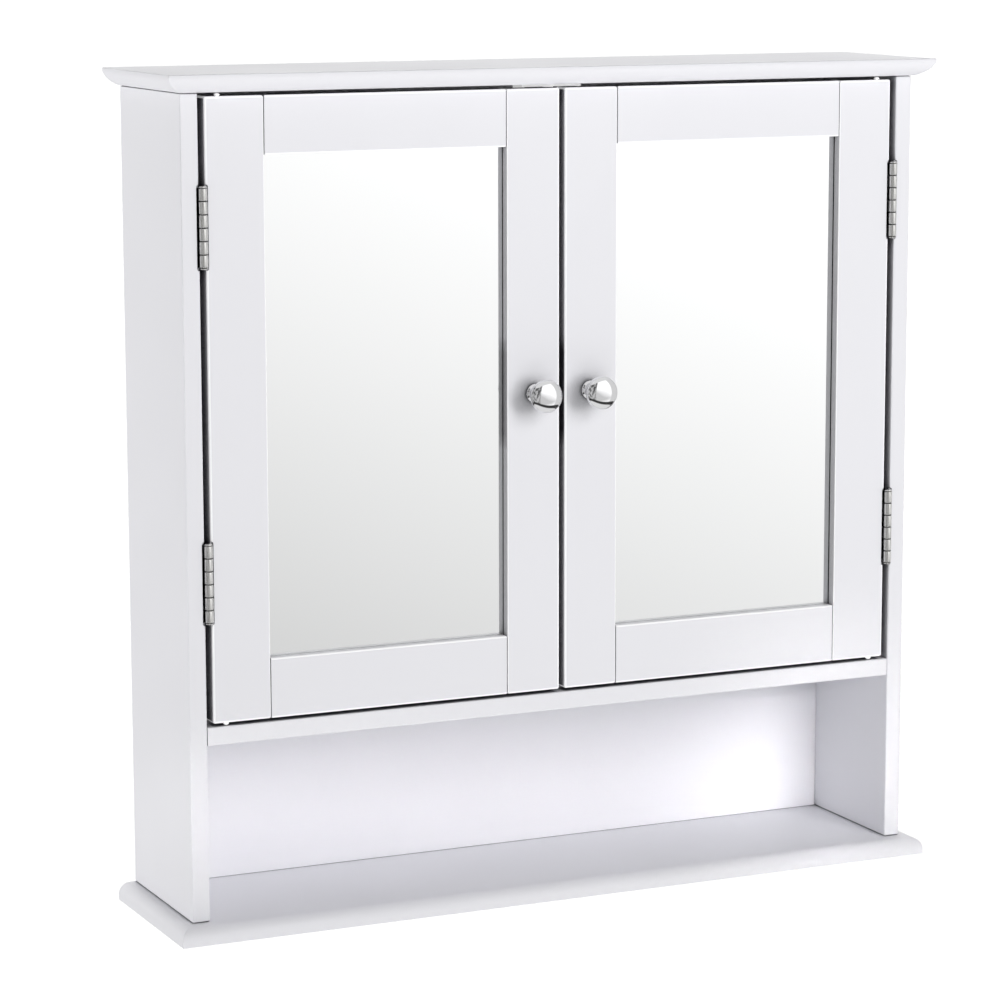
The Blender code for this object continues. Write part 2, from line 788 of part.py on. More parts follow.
def make_glazing(side, plan, mats, pivot):
    """The mirror against the lip, and the board that backs it, flush inside the rebate."""
    spread = REBATE_WIDE - 0.4 * MM
    mirror_front = plan.front + LIP + FIT
    backer_front = mirror_front + MIRROR_THICK + FIT
    layers = (
        ("mirror", mirror_front, MIRROR_THICK, "mirror"),
        ("backing_board", backer_front, BACKER_THICK, "lacquer"),
    )
    for layer, front, thick, material in layers:
        make_board(
            f"door_{side}_{layer}",
            plan.at(plan.outer_joint - spread, front, plan.open_low - spread),
            plan.at(plan.inner_joint + spread, front + thick, plan.open_high + spread),
            mats[material],
            pivot,
            edge=0,
        )


def knob_profile():
    """(radius, distance from the door) down a mushroom knob: screw bore, foot, waist and domed head."""
    bore_deep, foot, waist = 9 * MM, 6.5 * MM, 4.8 * MM
    head_r, head_half, head_middle, squareness = 11.3 * MM, 5.4 * MM, 18 * MM, 2.4
    outline = [
        (0, bore_deep),
        (KNOB_HOLE_R, bore_deep),
        (KNOB_HOLE_R, 0),
        (foot, 0),
        (foot, 1.6 * MM),
        (waist + 0.7 * MM, 3.2 * MM),
        (waist, 6 * MM),
        (waist, 10 * MM),
        (waist + 0.8 * MM, 13 * MM),
    ]
    steps = 10
    for step in range(1, steps + 1):
        turn = -math.pi / 2 + math.pi * (step + 1) / (steps + 1)
        across, along = abs(math.cos(turn)), math.sin(turn)
        radius = head_r * across ** (2 / squareness)
        reach = math.copysign(abs(along) ** (2 / squareness), along)
        outline.append((0 if step == steps else radius, head_middle + head_half * reach))
    return outline


def make_furniture(side, plan, mats, pivot):
    u = plan.free_edge - KNOB_FROM_EDGE
    base = plan.at(u, plan.front - FIT, KNOB_Z)
    make_turned(f"knob_{side}", knob_profile(), base, (0, -1, 0), mats["chrome"], pivot, segments=24)
    head_r, head_tall, reach = 4 * MM, 2.2 * MM, DOOR_THICK + 8 * MM
    screw = [
        (0, -head_tall),
        (head_r * 0.7, -head_tall),
        (head_r, -head_tall * 0.45),
        (head_r, 0),
        (KNOB_SCREW_R, 0),
        (KNOB_SCREW_R, reach),
        (0, reach),
    ]
    base = plan.at(u, plan.rear + FIT, KNOB_Z)
    make_turned(f"knob_screw_{side}", screw, base, (0, -1, 0), mats["zinc"], pivot, segments=16)

    strike_low = CEILING - FIT - CATCH_TALL + MM
    make_board(
        f"strike_plate_{side}",
        plan.at(HINGE_X - 20 * MM, plan.rear + FIT, strike_low),
        plan.at(HINGE_X - 4 * MM, plan.rear + FIT + STRIKE_THICK, DOOR_TOP - MM),
        mats["nickel"],
        pivot,
        edge=0,
    )

    button = [
        (0, -4.5 * MM),
        (1.2 * MM, -4.5 * MM),
        (1.2 * MM, FIT),
        (1.9 * MM, FIT),
        (1.7 * MM, 1.1 * MM),
        (0.9 * MM, 1.7 * MM),
        (0, 1.8 * MM),
    ]
    u, y = plan.hinge_edge + BUTTON_FROM_EDGE, plan.front + BUTTON_BEHIND_FRONT
    for level, z, up in (("top", DOOR_TOP, 1), ("bottom", DOOR_BOTTOM, -1)):
        name = f"spacer_button_{side}_{level}"
        make_turned(name, button, plan.at(u, y, z), (0, 0, up), mats["nylon"], pivot, segments=12)


def main():
    clear_scene()
    mats = make_materials()
    cabinet = make_empty("cabinet", (0, 0, -HANG_Z))
    make_top_and_bottom(mats, cabinet)
    for side, sign in SIDES.items():
        make_side(f"{side}_side", sign, mats, cabinet)
    make_shelves_and_back(mats, cabinet)
    make_hang_rail(mats, cabinet)
    make_fastenings(mats, cabinet)
    make_catch(mats, cabinet)
    doors = {}
    for side, sign in SIDES.items():
        doors[side] = make_empty(f"door_{side}_pivot", (sign * HINGE_X, HINGE_Y, 0), cabinet)
        make_door(side, sign, mats, doors[side])
    make_hinges(mats, cabinet, doors)


main()
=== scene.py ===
"""Looks of the hanging wall cabinet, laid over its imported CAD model.

Lengths are metres. +X is the viewer's right, +Y goes into the wall and +Z is up.
"""

import json
import math

import bmesh
import bpy
from mathutils import Matrix, Vector


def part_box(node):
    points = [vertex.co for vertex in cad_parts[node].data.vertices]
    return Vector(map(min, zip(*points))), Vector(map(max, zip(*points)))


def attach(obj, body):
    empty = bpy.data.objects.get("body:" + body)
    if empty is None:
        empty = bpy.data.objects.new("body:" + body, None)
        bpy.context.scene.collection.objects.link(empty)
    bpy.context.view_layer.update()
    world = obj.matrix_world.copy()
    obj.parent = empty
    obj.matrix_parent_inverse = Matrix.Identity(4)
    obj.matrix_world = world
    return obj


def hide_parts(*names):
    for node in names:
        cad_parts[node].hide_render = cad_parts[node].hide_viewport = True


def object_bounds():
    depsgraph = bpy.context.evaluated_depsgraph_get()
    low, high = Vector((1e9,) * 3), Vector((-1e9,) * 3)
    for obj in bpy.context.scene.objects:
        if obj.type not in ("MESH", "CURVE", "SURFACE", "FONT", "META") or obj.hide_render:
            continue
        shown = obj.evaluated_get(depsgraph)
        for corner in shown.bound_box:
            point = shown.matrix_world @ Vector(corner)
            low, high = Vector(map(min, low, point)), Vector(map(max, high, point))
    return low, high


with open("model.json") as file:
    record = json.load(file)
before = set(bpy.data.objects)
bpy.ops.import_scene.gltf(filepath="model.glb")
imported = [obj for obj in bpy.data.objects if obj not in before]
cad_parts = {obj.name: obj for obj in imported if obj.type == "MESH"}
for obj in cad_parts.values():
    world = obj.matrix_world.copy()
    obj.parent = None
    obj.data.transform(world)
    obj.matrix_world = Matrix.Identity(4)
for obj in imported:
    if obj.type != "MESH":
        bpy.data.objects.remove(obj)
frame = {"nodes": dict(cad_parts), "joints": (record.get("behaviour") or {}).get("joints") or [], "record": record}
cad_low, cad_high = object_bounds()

MM = 0.001
SIDES = {"left": -1, "right": 1}
LEVELS = ("upper", "lower")
NODES = frame["nodes"]
JOINTS = {joint["child"]: joint for joint in frame["joints"]}
FRAME_PARTS = ("hinge_stile", "meeting_stile", "top_rail", "bottom_rail")


# ---- materials
WHITE = (1.0, 1.0, 1.0, 1.0)
LACQUER_TONE = (0.880, 0.878, 0.912)
LACQUER_DEEPER = (0.875, 0.873, 0.906)
LACQUER_LIGHTER = (0.885, 0.883, 0.918)
# Small emissions that paint in light: a painted glow on the nylon parts, and a painted highlight on the doors'
# rounded arrises.
NYLON_GLOW = 0.45
ARRIS_GLOW = 0.20
# Painted shade: lacquer and nickel darken where other surfaces stand within the reach.
OPENNESS_SAMPLES = 6
CREVICE_REACH = 14 * MM
CREVICE_RANGE = (0.12, 0.42)
CREVICE_SHADE_TONE = (0.035, 0.035, 0.048)
PLATE_REACH = 6 * MM
PLATE_RANGE = (0.52, 0.90)
PLATE_SHADE_TONE = (0.02, 0.02, 0.024)
# The contact shade round a knob's foot. It fades out over the span, measured up and down from the knob.
SHADE_REACH = 22 * MM
SHADE_RANGE = (0.47, 0.76)
SHADE_SPAN = (26 * MM, 38 * MM)
SHADE_TONE = (0.07, 0.07, 0.08)


class Graph:
    """A node tree with helpers that add nodes to it."""

    def __init__(self, tree):
        self.tree = tree

    def feed(self, value, socket):
        """Links another node's output to a socket, or sets the socket's own value."""
        if isinstance(value, bpy.types.NodeSocket):
            self.tree.links.new(value, socket)
        else:
            socket.default_value = value

    def fill(self, node, **sockets):
        """Feeds sockets by name, where _ stands for a space."""
        for name, value in sockets.items():
            self.feed(value, node.inputs[name.replace("_", " ")])

    def node(self, kind, **sockets):
        made = self.tree.nodes.new(f"ShaderNode{kind}")
        self.fill(made, **sockets)
        return made

    def math(self, operation, first, second):
        node = self.node("Math")
        node.operation = operation
        self.feed(first, node.inputs[0])
        self.feed(second, node.inputs[1])
        return node.outputs[0]

    def spread(self, source, low=0.0, high=1.0, floor=0.3, ceiling=0.7):
        """Maps floor..ceiling, as default a noise's middle range, to low..high."""
        ends = {"From_Min": floor, "From_Max": ceiling, "To_Min": low, "To_Max": high}
        return self.node("MapRange", Value=source, **ends).outputs["Result"]

    def axes(self, source):
        node = self.node("SeparateXYZ", Vector=source)
        return (node.outputs[axis] for axis in "XYZ")


class Surface(Graph):
    """A Principled material with helpers that add object-space texture to it."""

    def __init__(self, name, colour, roughness, metallic=0.0, **sockets):
        self.material = bpy.data.materials.new(name)
        self.material.use_nodes = True
        self.material.diffuse_color = (*colour, 1.0)
        super().__init__(self.material.node_tree)
        self.shader = self.tree.nodes["Principled BSDF"]
        self.fill(self.shader, Base_Color=(*colour, 1.0), Roughness=roughness, Metallic=metallic, **sockets)
        self.place = self.node("TexCoord").outputs["Object"]

    def noise(self, scale, detail=2.0, stretch=(1, 1, 1)):
        place = self.node("Mapping", Vector=self.place, Scale=stretch).outputs["Vector"]
        return self.node("TexNoise", Vector=place, Scale=scale, Detail=detail).outputs["Fac"]

    def blend(self, source, first, second):
        node = self.node("Mix")
        node.data_type = "RGBA"
        for socket, colour in (("A", first), ("B", second)):
            entry = next(i for i in node.inputs if i.name == socket and i.type == "RGBA")
            self.feed((*colour, 1.0) if isinstance(colour, tuple) else colour, entry)
        self.feed(source, node.inputs["Factor"])
        return next(o for o in node.outputs if o.type == "RGBA")

    def bump(self, source, strength, distance):
        node = self.node("Bump", Height=source, Strength=strength, Distance=distance)
        self.fill(self.shader, Normal=node.outputs["Normal"])

    def openness(self, reach, dark, clear):
        """0 where other surfaces stand closer than reach, as in the gaps, and 1 in the open."""
        near = self.node("AmbientOcclusion", Distance=reach)
        near.samples = OPENNESS_SAMPLES
        return self.spread(near.outputs["AO"], 0.0, 1.0, dark, clear)

    def glow(self, strength):
        self.fill(self.shader, Emission_Color=WHITE, Emission_Strength=strength)

    def colour_from(self, source):
        self.fill(self.shader, Base_Color=source)

    def roughness_from(self, source):
        self.fill(self.shader, Roughness=source)

    def tint(self, noise, first, second):
        self.colour_from(self.blend(self.spread(noise), first, second))


def lacquer_surface(name="white_lacquer", shaded_z=None):
    """Sprayed satin lacquer: a faint drift in tint and gloss, and a fine orange peel.

    Near shaded_z it also takes the soft contact shade of a part that stands on it.
    """
    surface = Surface(name, LACQUER_TONE, 0.36, IOR=1.5)
    drift = surface.spread(surface.noise(5.0, 3.0))
    paint = surface.blend(drift, LACQUER_DEEPER, LACQUER_LIGHTER)
    if shaded_z is not None:
        _, _, z = surface.axes(surface.place)
        away = surface.math("ABSOLUTE", surface.math("SUBTRACT", z, shaded_z), 0.0)
        beyond = surface.spread(away, 0.0, 1.0, *SHADE_SPAN)
        close = surface.openness(SHADE_REACH, *SHADE_RANGE)
        paint = surface.blend(surface.math("MAXIMUM", beyond, close), SHADE_TONE, paint)
    # Painted shade: the lacquer darkens to a near-black tone where other surfaces stand close, in gaps, corners
    # and recesses.
    open_share = surface.openness(CREVICE_REACH, *CREVICE_RANGE)
    surface.colour_from(surface.blend(open_share, CREVICE_SHADE_TONE, paint))
    satin = surface.spread(surface.noise(14.0, 3.0), 0.32, 0.42)
    dulled = surface.spread(open_share, 0.95, 0.30, 0.0, 1.0)
    surface.roughness_from(surface.math("MAXIMUM", satin, dulled))
    surface.bump(surface.noise(620.0, 1.0), 0.10, 0.06 * MM)
    return surface.material


def arris_highlight_surface():
    """The doors' rounded arrises: a lighter lacquer that glows a little, a painted highlight."""
    surface = Surface("arris_painted_highlight", (0.96, 0.96, 0.98), 0.24, IOR=1.5)
    surface.tint(surface.noise(30.0), (0.94, 0.94, 0.965), (0.97, 0.97, 0.985))
    surface.glow(ARRIS_GLOW)
    return surface.material


def painted_front_surface():
    """The back panel: lacquered towards the room, bare fibreboard towards the wall."""
    surface = Surface("back_panel_board", LACQUER_TONE, 0.40, IOR=1.5)
    _, y, _ = surface.axes(surface.node("NewGeometry").outputs["True Normal"])
    rear = surface.spread(y, 0.0, 1.0, 0.4, 0.6)
    fibres = surface.spread(surface.noise(420.0, 4.0, (1, 1, 0.35)), 0.0, 1.0, 0.35, 0.65)
    drift = surface.spread(surface.noise(5.0, 3.0))
    bare = surface.blend(fibres, (0.42, 0.30, 0.19), (0.60, 0.46, 0.31))
    white = surface.blend(drift, LACQUER_DEEPER, LACQUER_LIGHTER)
    surface.colour_from(surface.blend(rear, white, bare))
    surface.roughness_from(surface.spread(rear, 0.38, 0.85, 0.0, 1.0))
    surface.bump(surface.noise(620.0), 0.12, 0.06 * MM)
    return surface.material


def mirror_surface():
    surface = Surface("silvered_glass", (0.93, 0.935, 0.935), 0.012, 1.0)
    surface.tint(surface.noise(4.0), (0.925, 0.932, 0.930), (0.935, 0.938, 0.938))
    return surface.material


def chrome_surface():
    surface = Surface("polished_chrome", (0.86, 0.86, 0.87), 0.05, 1.0)
    surface.roughness_from(surface.spread(surface.noise(160.0, 3.0), 0.035, 0.075))
    surface.bump(surface.noise(900.0), 0.02, 0.02 * MM)
    return surface.material


def nickel_surface():
    """Satin nickel plate with upright brush marks."""
    surface = Surface("satin_nickel", (0.78, 0.775, 0.76), 0.26, 1.0)
    brushed = surface.noise(1800.0, 3.0, (1, 1, 0.03))
    plate = surface.blend(surface.spread(brushed), (0.66, 0.655, 0.64), (0.90, 0.895, 0.88))
    # Painted shade: the plate darkens to a near-black tone where other surfaces stand close, as at the hinge
    # barrels' sides.
    surface.colour_from(surface.blend(surface.openness(PLATE_REACH, *PLATE_RANGE), PLATE_SHADE_TONE, plate))
    surface.roughness_from(surface.spread(brushed, 0.20, 0.34))
    surface.bump(brushed, 0.10, 0.03 * MM)
    return surface.material


def zinc_surface():
    """Bright zinc plate: a faint spangle and dull patches."""
    surface = Surface("bright_zinc", (0.70, 0.71, 0.73), 0.32, 1.0)
    surface.tint(surface.noise(260.0, 4.0), (0.60, 0.61, 0.64), (0.76, 0.77, 0.78))
    surface.roughness_from(surface.spread(surface.noise(340.0, 3.0), 0.24, 0.42))
    surface.bump(surface.noise(1500.0), 0.06, 0.03 * MM)
    return surface.material


def nylon_surface():
    surface = Surface("white_nylon", (0.90, 0.90, 0.90), 0.42, IOR=1.53)
    # Painted light: the glow keeps the spacer buttons and the catch housing white in the shaded gaps.
    surface.glow(NYLON_GLOW)
    surface.roughness_from(surface.spread(surface.noise(300.0), 0.36, 0.50))
    surface.bump(surface.noise(2600.0, 1.0), 0.08, 0.02 * MM)
    return surface.material


def ferrite_surface():
    surface = Surface("ferrite", (0.055, 0.055, 0.06), 0.5)
    surface.tint(surface.noise(2200.0, 3.0), (0.04, 0.04, 0.045), (0.09, 0.09, 0.095))
    surface.bump(surface.noise(1800.0), 0.2, 0.04 * MM)
    return surface.material


def beech_surface():
    surface = Surface("bare_beech", (0.70, 0.52, 0.33), 0.62)
    surface.tint(surface.noise(700.0, 4.0, (1, 1, 0.06)), (0.60, 0.42, 0.25), (0.76, 0.60, 0.41))
    surface.bump(surface.noise(900.0, 3.0, (1, 1, 0.08)), 0.2, 0.08 * MM)
    return surface.material


LACQUER = lacquer_surface()
KNOB_Z = sum(corner.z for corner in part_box("knob_left")) / 2
KNOB_STILE = lacquer_surface("white_lacquer_by_knob", KNOB_Z)
ARRIS_HIGHLIGHT_COAT = arris_highlight_surface()
BACK_BOARD = painted_front_surface()
SLOT_MATERIAL = {
    "white_lacquer": LACQUER,
    "mirror_glass": mirror_surface(),
    "chrome": chrome_surface(),
    "nickel_steel": nickel_surface(),
    "zinc_steel": zinc_surface(),
    "white_nylon": nylon_surface(),
    "ferrite": ferrite_surface(),
    "beech": beech_surface(),
}


def dress_cad_nodes():
    for entry in frame["record"]["subparts"]:
        node = NODES[entry["node"]]
        node.data.materials.clear()
        node.data.materials.append(SLOT_MATERIAL[entry["material_slot"]])
    NODES["back_panel"].data.materials[0] = BACK_BOARD


# ---- mesh helpers
def mesh_from(bm, name):
    bmesh.ops.recalc_face_normals(bm, faces=bm.faces)
    mesh = bpy.data.meshes.new(name)
    bm.to_mesh(mesh)
    bm.free()
    return mesh


SQUARE = 0.9999
SMOOTH_BELOW = 34
SMOOTH_BELOW_TURNED = 50


def node_centre(node):
    low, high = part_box(node)
    return (low + high) / 2


def quarter_turns(steps):
    return [math.pi / 2 * step / steps for step in range(steps + 1)]


def carried(mesh, matrix):
    mesh.transform(matrix)
    return mesh


def smoothed(mesh, angle=SMOOTH_BELOW):
    mesh.shade_smooth()
    mesh.set_sharp_from_angle(angle=math.radians(angle))
    return mesh


def flattened(mesh):
    """Faces square to an axis keep a single normal, so that the holes in them leave no streaks."""
    for face in mesh.polygons:
        if max(abs(value) for value in face.normal) > SQUARE:
            face.use_smooth = False
    return mesh


def loose_object(data, name=""):
    made = bpy.data.objects.new(name or data.name, data)
    bpy.context.scene.collection.objects.link(made)
    return made


def evaluated_mesh(helper, name):
    """The helper object's mesh with its modifiers applied."""
    bpy.context.view_layer.update()
    graph = bpy.context.evaluated_depsgraph_get()
    mesh = bpy.data.meshes.new_from_object(helper.evaluated_get(graph), depsgraph=graph)
    mesh.name = name
    bpy.data.objects.remove(helper)
    return mesh


def carve(mesh, tools, operation="DIFFERENCE"):
    """mesh with every tool mesh cut out of it, or added to it."""
    helper = loose_object(mesh)
    others = [loose_object(tool) for tool in tools]
    for other in others:
        boolean = helper.modifiers.new("boolean", "BOOLEAN")
        boolean.operation = operation
        boolean.solver = "EXACT"
        boolean.object = other
    made = evaluated_mesh(helper, mesh.name)
    for other in others:
        bpy.data.objects.remove(other)
    return made


def box_mesh(name, low, high, radius=0.0, segments=3, radii=None, coats=()):
    """A box with rounded edges. radii(middle, axis) may give each edge its own radius.

    coats are the materials of the faces and of the rounded edges.
    """
    low, high = Vector(low), Vector(high)
    bm = bmesh.new()
    place = Matrix.Translation((low + high) / 2) @ Matrix.Diagonal((*(high - low), 1.0))
    bmesh.ops.create_cube(bm, size=1.0, matrix=place)
    if not radius:
        return mesh_from(bm, name)
    weights = bm.edges.layers.float.new("bevel_weight_edge")
    for edge in bm.edges:
        first, second = (vert.co for vert in edge.verts)
        along = second - first
        axis = max(range(3), key=lambda k: abs(along[k]))
        own = radii((first + second) / 2, axis) if radii else radius
        edge[weights] = own / radius
    helper = loose_object(mesh_from(bm, name))
    bevel = helper.modifiers.new("bevel", "BEVEL")
    bevel.width = radius
    bevel.segments = segments
    bevel.limit_method = "WEIGHT"
    if coats:
        for coat in coats:
            helper.data.materials.append(coat)
        bevel.material = len(coats) - 1
    return evaluated_mesh(helper, name)


ON_AXIS = 1e-9


def lathe(name, profile, segments=48, closed=False):
    """Turns (radius, height) pairs round Z. A closed profile joins its last point to its first."""
    bm = bmesh.new()
    rings = []
    for radius, height in profile:
        count = segments if radius > ON_AXIS else 1
        turns = [math.tau * k / segments for k in range(count)]
        rings.append([bm.verts.new((radius * math.cos(t), radius * math.sin(t), height)) for t in turns])
    pairs = list(zip(rings, rings[1:]))
    if closed:
        pairs.append((rings[-1], rings[0]))
    for lower, upper in pairs:
        for k in range(segments):
            after = (k + 1) % segments
            if len(lower) == 1:
                bm.faces.new((lower[0], upper[k], upper[after]))
            elif len(upper) == 1:
                bm.faces.new((lower[k], upper[0], lower[after]))
            else:
                bm.faces.new((lower[k], upper[k], upper[after], lower[after]))
    return mesh_from(bm, name)


def rod_mesh(start, end, radius, end_radius=None, segments=24):
    start, end = Vector(start), Vector(end)
    along = end - start
    bm = bmesh.new()
    bmesh.ops.create_cone(
        bm,
        cap_ends=True,
        segments=segments,
        radius1=radius,
        radius2=radius if end_radius is None else end_radius,
        depth=along.length,
        matrix=Matrix.Translation((start + end) / 2) @ facing(along),
    )
    return mesh_from(bm, "rod")


def slab_mesh(name, outline, near, far, axis):
    """A flat outline of (a, b) points extruded along axis 0 or 1, from near to far."""
    bm = bmesh.new()
    order = {0: lambda a, b, c: (c, a, b), 1: lambda a, b, c: (a, c, b)}[axis]
    rings = [[bm.verts.new(order(a, b, level)) for a, b in outline] for level in (near, far)]
    bm.faces.new(rings[0])
    bm.faces.new(rings[1])
    for k in range(len(outline)):
        after = (k + 1) % len(outline)
        bm.faces.new((rings[0][k], rings[0][after], rings[1][after], rings[1][k]))
    return mesh_from(bm, name)


def rounded_outline(low, high, radii, steps=6):
    """Corner points of a rectangle, anticlockwise from its low corner, each corner with its own radius."""
    corners = [(low[0], low[1]), (high[0], low[1]), (high[0], high[1]), (low[0], high[1])]
    points = []
    for k, ((x, y), radius) in enumerate(zip(corners, radii)):
        if not radius:
            points.append((x, y))
            continue
        inward_x, inward_y = (1 if k in (0, 3) else -1), (1 if k < 2 else -1)
        centre = (x + inward_x * radius, y + inward_y * radius)
        begin = math.pi + k * math.pi / 2
        for turn in quarter_turns(steps):
            along, across = math.cos(begin + turn), math.sin(begin + turn)
            points.append((centre[0] + radius * along, centre[1] + radius * across))
    return points


def facing(direction):
    """Turns local +Z to direction."""
    return Vector(direction).to_track_quat("Z", "Y").to_matrix().to_4x4()


def placed(spot, direction, turn=0.0):
    """Where a mesh made along +Z goes to stand at the spot and point in the direction."""
    return Matrix.Translation(spot) @ facing(direction) @ Matrix.Rotation(turn, 4, "Z")


def add_piece(name, mesh, body, slot, place=None, replaces=(), weighted=False):
    piece = loose_object(mesh, name)
    if not mesh.materials:
        mesh.materials.append(SLOT_MATERIAL[slot])
    if place is not None:
        piece.matrix_world = place
    if weighted:
        normals = piece.modifiers.new("weighted_normals", "WEIGHTED_NORMAL")
        normals.keep_sharp = True
    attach(piece, body)
    if replaces:
        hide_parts(*replaces)


# ---- moulded boards
FILLET = 2.0 * MM
ROUND_IN = 12.0 * MM
ROUND_POWER = 1.5
ROUND_STEPS = 22
NOSE_R = 8.0 * MM
NOSE_ARRIS = 0.6 * MM
TOP_ARRIS = 1.0 * MM
ARRIS_STEPS = 6
CORNER_R = 0.35 * MM
CORNER_STEPS = 5
SCREW_SEAT_R, SCREW_SEAT_FOOT_R, SCREW_SEAT_DEEP = 6.0 * MM, 2.2 * MM, 4.6 * MM


def eased_arris(radius):
    """(inset, drop) pairs round the wide face's edge."""
    turns = quarter_turns(ARRIS_STEPS)
    return [(radius * (1 - math.sin(turn)), radius * (1 - math.cos(turn))) for turn in turns]


def nose_moulding(thick):
    """The bottom board: an upright edge under a quarter round."""
    pairs = eased_arris(NOSE_ARRIS)
    for turn in quarter_turns(ROUND_STEPS):
        pairs.append((NOSE_R * (1 - math.cos(turn)), thick - NOSE_R * (1 - math.sin(turn))))
    return pairs


def lean_moulding(thick):
    """The top board: a short fillet over a quarter of a lean ellipse."""
    pairs = eased_arris(TOP_ARRIS)
    for turn in quarter_turns(ROUND_STEPS):
        inset = ROUND_IN * (1 - max(math.cos(turn), 0.0) ** (2 / ROUND_POWER))
        pairs.append((inset, FILLET + (thick - FILLET) * math.sin(turn) ** (2 / ROUND_POWER)))
    return pairs


def moulded_board(node, moulding, wide_up):
    """A board whose front and end edges follow a moulding; its rear edge stays square."""
    low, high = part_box(node)
    wide_z = high.z if wide_up else low.z
    direction = -1 if wide_up else 1
    bm = bmesh.new()
    rings = []
    for inset, drop in moulding(high.z - low.z):
        corners = (low.x + inset, low.y + inset), (high.x - inset, high.y)
        outline = rounded_outline(*corners, (CORNER_R, CORNER_R, 0, 0), CORNER_STEPS)
        rings.append([bm.verts.new((x, y, wide_z + direction * drop)) for x, y in outline])
    bm.faces.new(rings[0])
    bm.faces.new(rings[-1])
    for ring, following in zip(rings, rings[1:]):
        for k in range(len(ring)):
            after = (k + 1) % len(ring)
            bm.faces.new((ring[k], ring[after], following[after], following[k]))
    return mesh_from(bm, f"{node}_moulded")


def make_moulded_boards():
    boards = {"top_board": moulded_board("top_board", lean_moulding, wide_up=True)}
    bottom = moulded_board("bottom_board", nose_moulding, wide_up=False)
    seats = []
    for name in bottom_screw_names():
        centre = node_centre(name)
        start = Vector((centre.x, centre.y, cad_low.z - MM))
        end = start + Vector((0, 0, SCREW_SEAT_DEEP))
        seats.append(rod_mesh(start, end, SCREW_SEAT_R, SCREW_SEAT_FOOT_R))
    boards["bottom_board"] = carve(bottom, seats)
    for node, mesh in boards.items():
        mesh = smoothed(mesh)
        add_piece(f"{node}_moulded", mesh, "cabinet", "white_lacquer", replaces=[node], weighted=True)


# ---- doors
# Arris radii: round the door's outside, round the mirror opening and along the joints between members.
OUTER_R = 1.3 * MM
OPENING_R = 1.0 * MM
JOINT_R = 0.55 * MM
ARRIS_SEGMENTS = 4
JOINT_GAP = 0.5 * MM
REBATE_CLEAR = 0.4 * MM
STILE_LIP_CLEAR = 0.8 * MM
RAIL_LIP_CLEAR = 0.25 * MM
GAIN_DEEP = 0.85 * MM
GAIN_CLEAR = 0.3 * MM
RELIEF_WIDE = 1.7 * MM
RELIEF_DEEP = 1.8 * MM
RELIEF_AHEAD = 8 * MM
RELIEF_PAST_LEAF = 2.2 * MM
RELIEF_CORNER_R = 1.4 * MM
ON_EDGE = 0.1 * MM
END_FACE = 0.1
DOOR_COATS = {part: (LACQUER, ARRIS_HIGHLIGHT_COAT) for part in FRAME_PARTS}
DOOR_COATS["meeting_stile"] = (KNOB_STILE, ARRIS_HIGHLIGHT_COAT)


def bodies_of(side):
    return f"{side}_door"


def door_boxes(side):
    """The four frame members' boxes, the rails' without their tenons."""
    sign = SIDES[side]
    names = {part: f"door_{side}_{part}" for part in FRAME_PARTS}
    boxes = {part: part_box(name) for part, name in names.items()}
    inner_edges = {
        "hinge_stile": boxes["hinge_stile"][1 if sign < 0 else 0].x,
        "meeting_stile": boxes["meeting_stile"][0 if sign < 0 else 1].x,
    }
    start, end = sorted(inner_edges.values())
    for rail in ("top_rail", "bottom_rail"):
        low, high = boxes[rail]
        boxes[rail] = (
            Vector((start + JOINT_GAP, low.y, low.z)),
            Vector((end - JOINT_GAP, high.y, high.z)),
        )
    return names, boxes, inner_edges


def rebate_mesh(side, rear, lip_clear):
    """The pocket for mirror and backing board, cut in from the rear."""
    mirror_low, mirror_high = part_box(f"door_{side}_mirror")
    low = (mirror_low.x - REBATE_CLEAR, mirror_low.y - lip_clear, mirror_low.z - REBATE_CLEAR)
    high = (mirror_high.x + REBATE_CLEAR, rear + MM, mirror_high.z + REBATE_CLEAR)
    return box_mesh("rebate", low, high)


def stile_radii(inner_x):
    """Outer arrises are rounded more than the ones along the joints."""

    def radius(middle, axis):
        on_inner_edge = abs(middle.x - inner_x) < ON_EDGE
        return JOINT_R if on_inner_edge and axis == 2 else OUTER_R

    return radius


def rail_radii(outer_z):
    """A rail's long edges are rounded more than its ends, and its outer one most."""

    def radius(middle, axis):
        if axis != 0:
            return JOINT_R
        return OUTER_R if abs(middle.z - outer_z) < ON_EDGE else OPENING_R

    return radius


def hinge_gains(side, edge_x, inward):
    """The shallow recesses in an edge at edge_x, where the leaves lie."""
    start, end = sorted((edge_x, edge_x + inward))
    tools = []
    for level in LEVELS:
        low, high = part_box(f"hinge_{side}_{level}_frame_leaf")
        gain_low = (start, low.y - MM, low.z - GAIN_CLEAR)
        gain_high = (end, high.y + GAIN_CLEAR, high.z + GAIN_CLEAR)
        tools.append(box_mesh("gain", gain_low, gain_high))
    return tools


def barrel_reliefs(side, edge_x):
    """Notches in a front edge at edge_x that leave a dark margin round each hinge barrel."""
    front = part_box(f"door_{side}_hinge_stile")[0].y
    tools = []
    for level in LEVELS:
        low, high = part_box(f"hinge_{side}_{level}_frame_leaf")
        notch_low = (edge_x - RELIEF_WIDE, front - RELIEF_AHEAD, low.z - RELIEF_PAST_LEAF)
        notch_high = (edge_x + RELIEF_WIDE, front + RELIEF_DEEP, high.z + RELIEF_PAST_LEAF)
        tools.append(box_mesh("relief", notch_low, notch_high, RELIEF_CORNER_R))
    return tools


def make_side_panels():
    """The CAD side panels with the notches round the hinge barrels cut into them."""
    for side, sign in SIDES.items():
        node = f"{side}_side"
        low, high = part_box(node)
        inner_x = high.x if sign < 0 else low.x
        panel = NODES[node].data.copy()
        panel.name = f"{node}_notched"
        panel = flattened(smoothed(carve(panel, barrel_reliefs(side, inner_x))))
        add_piece(f"{node}_notched", panel, "cabinet", "white_lacquer", replaces=[node])


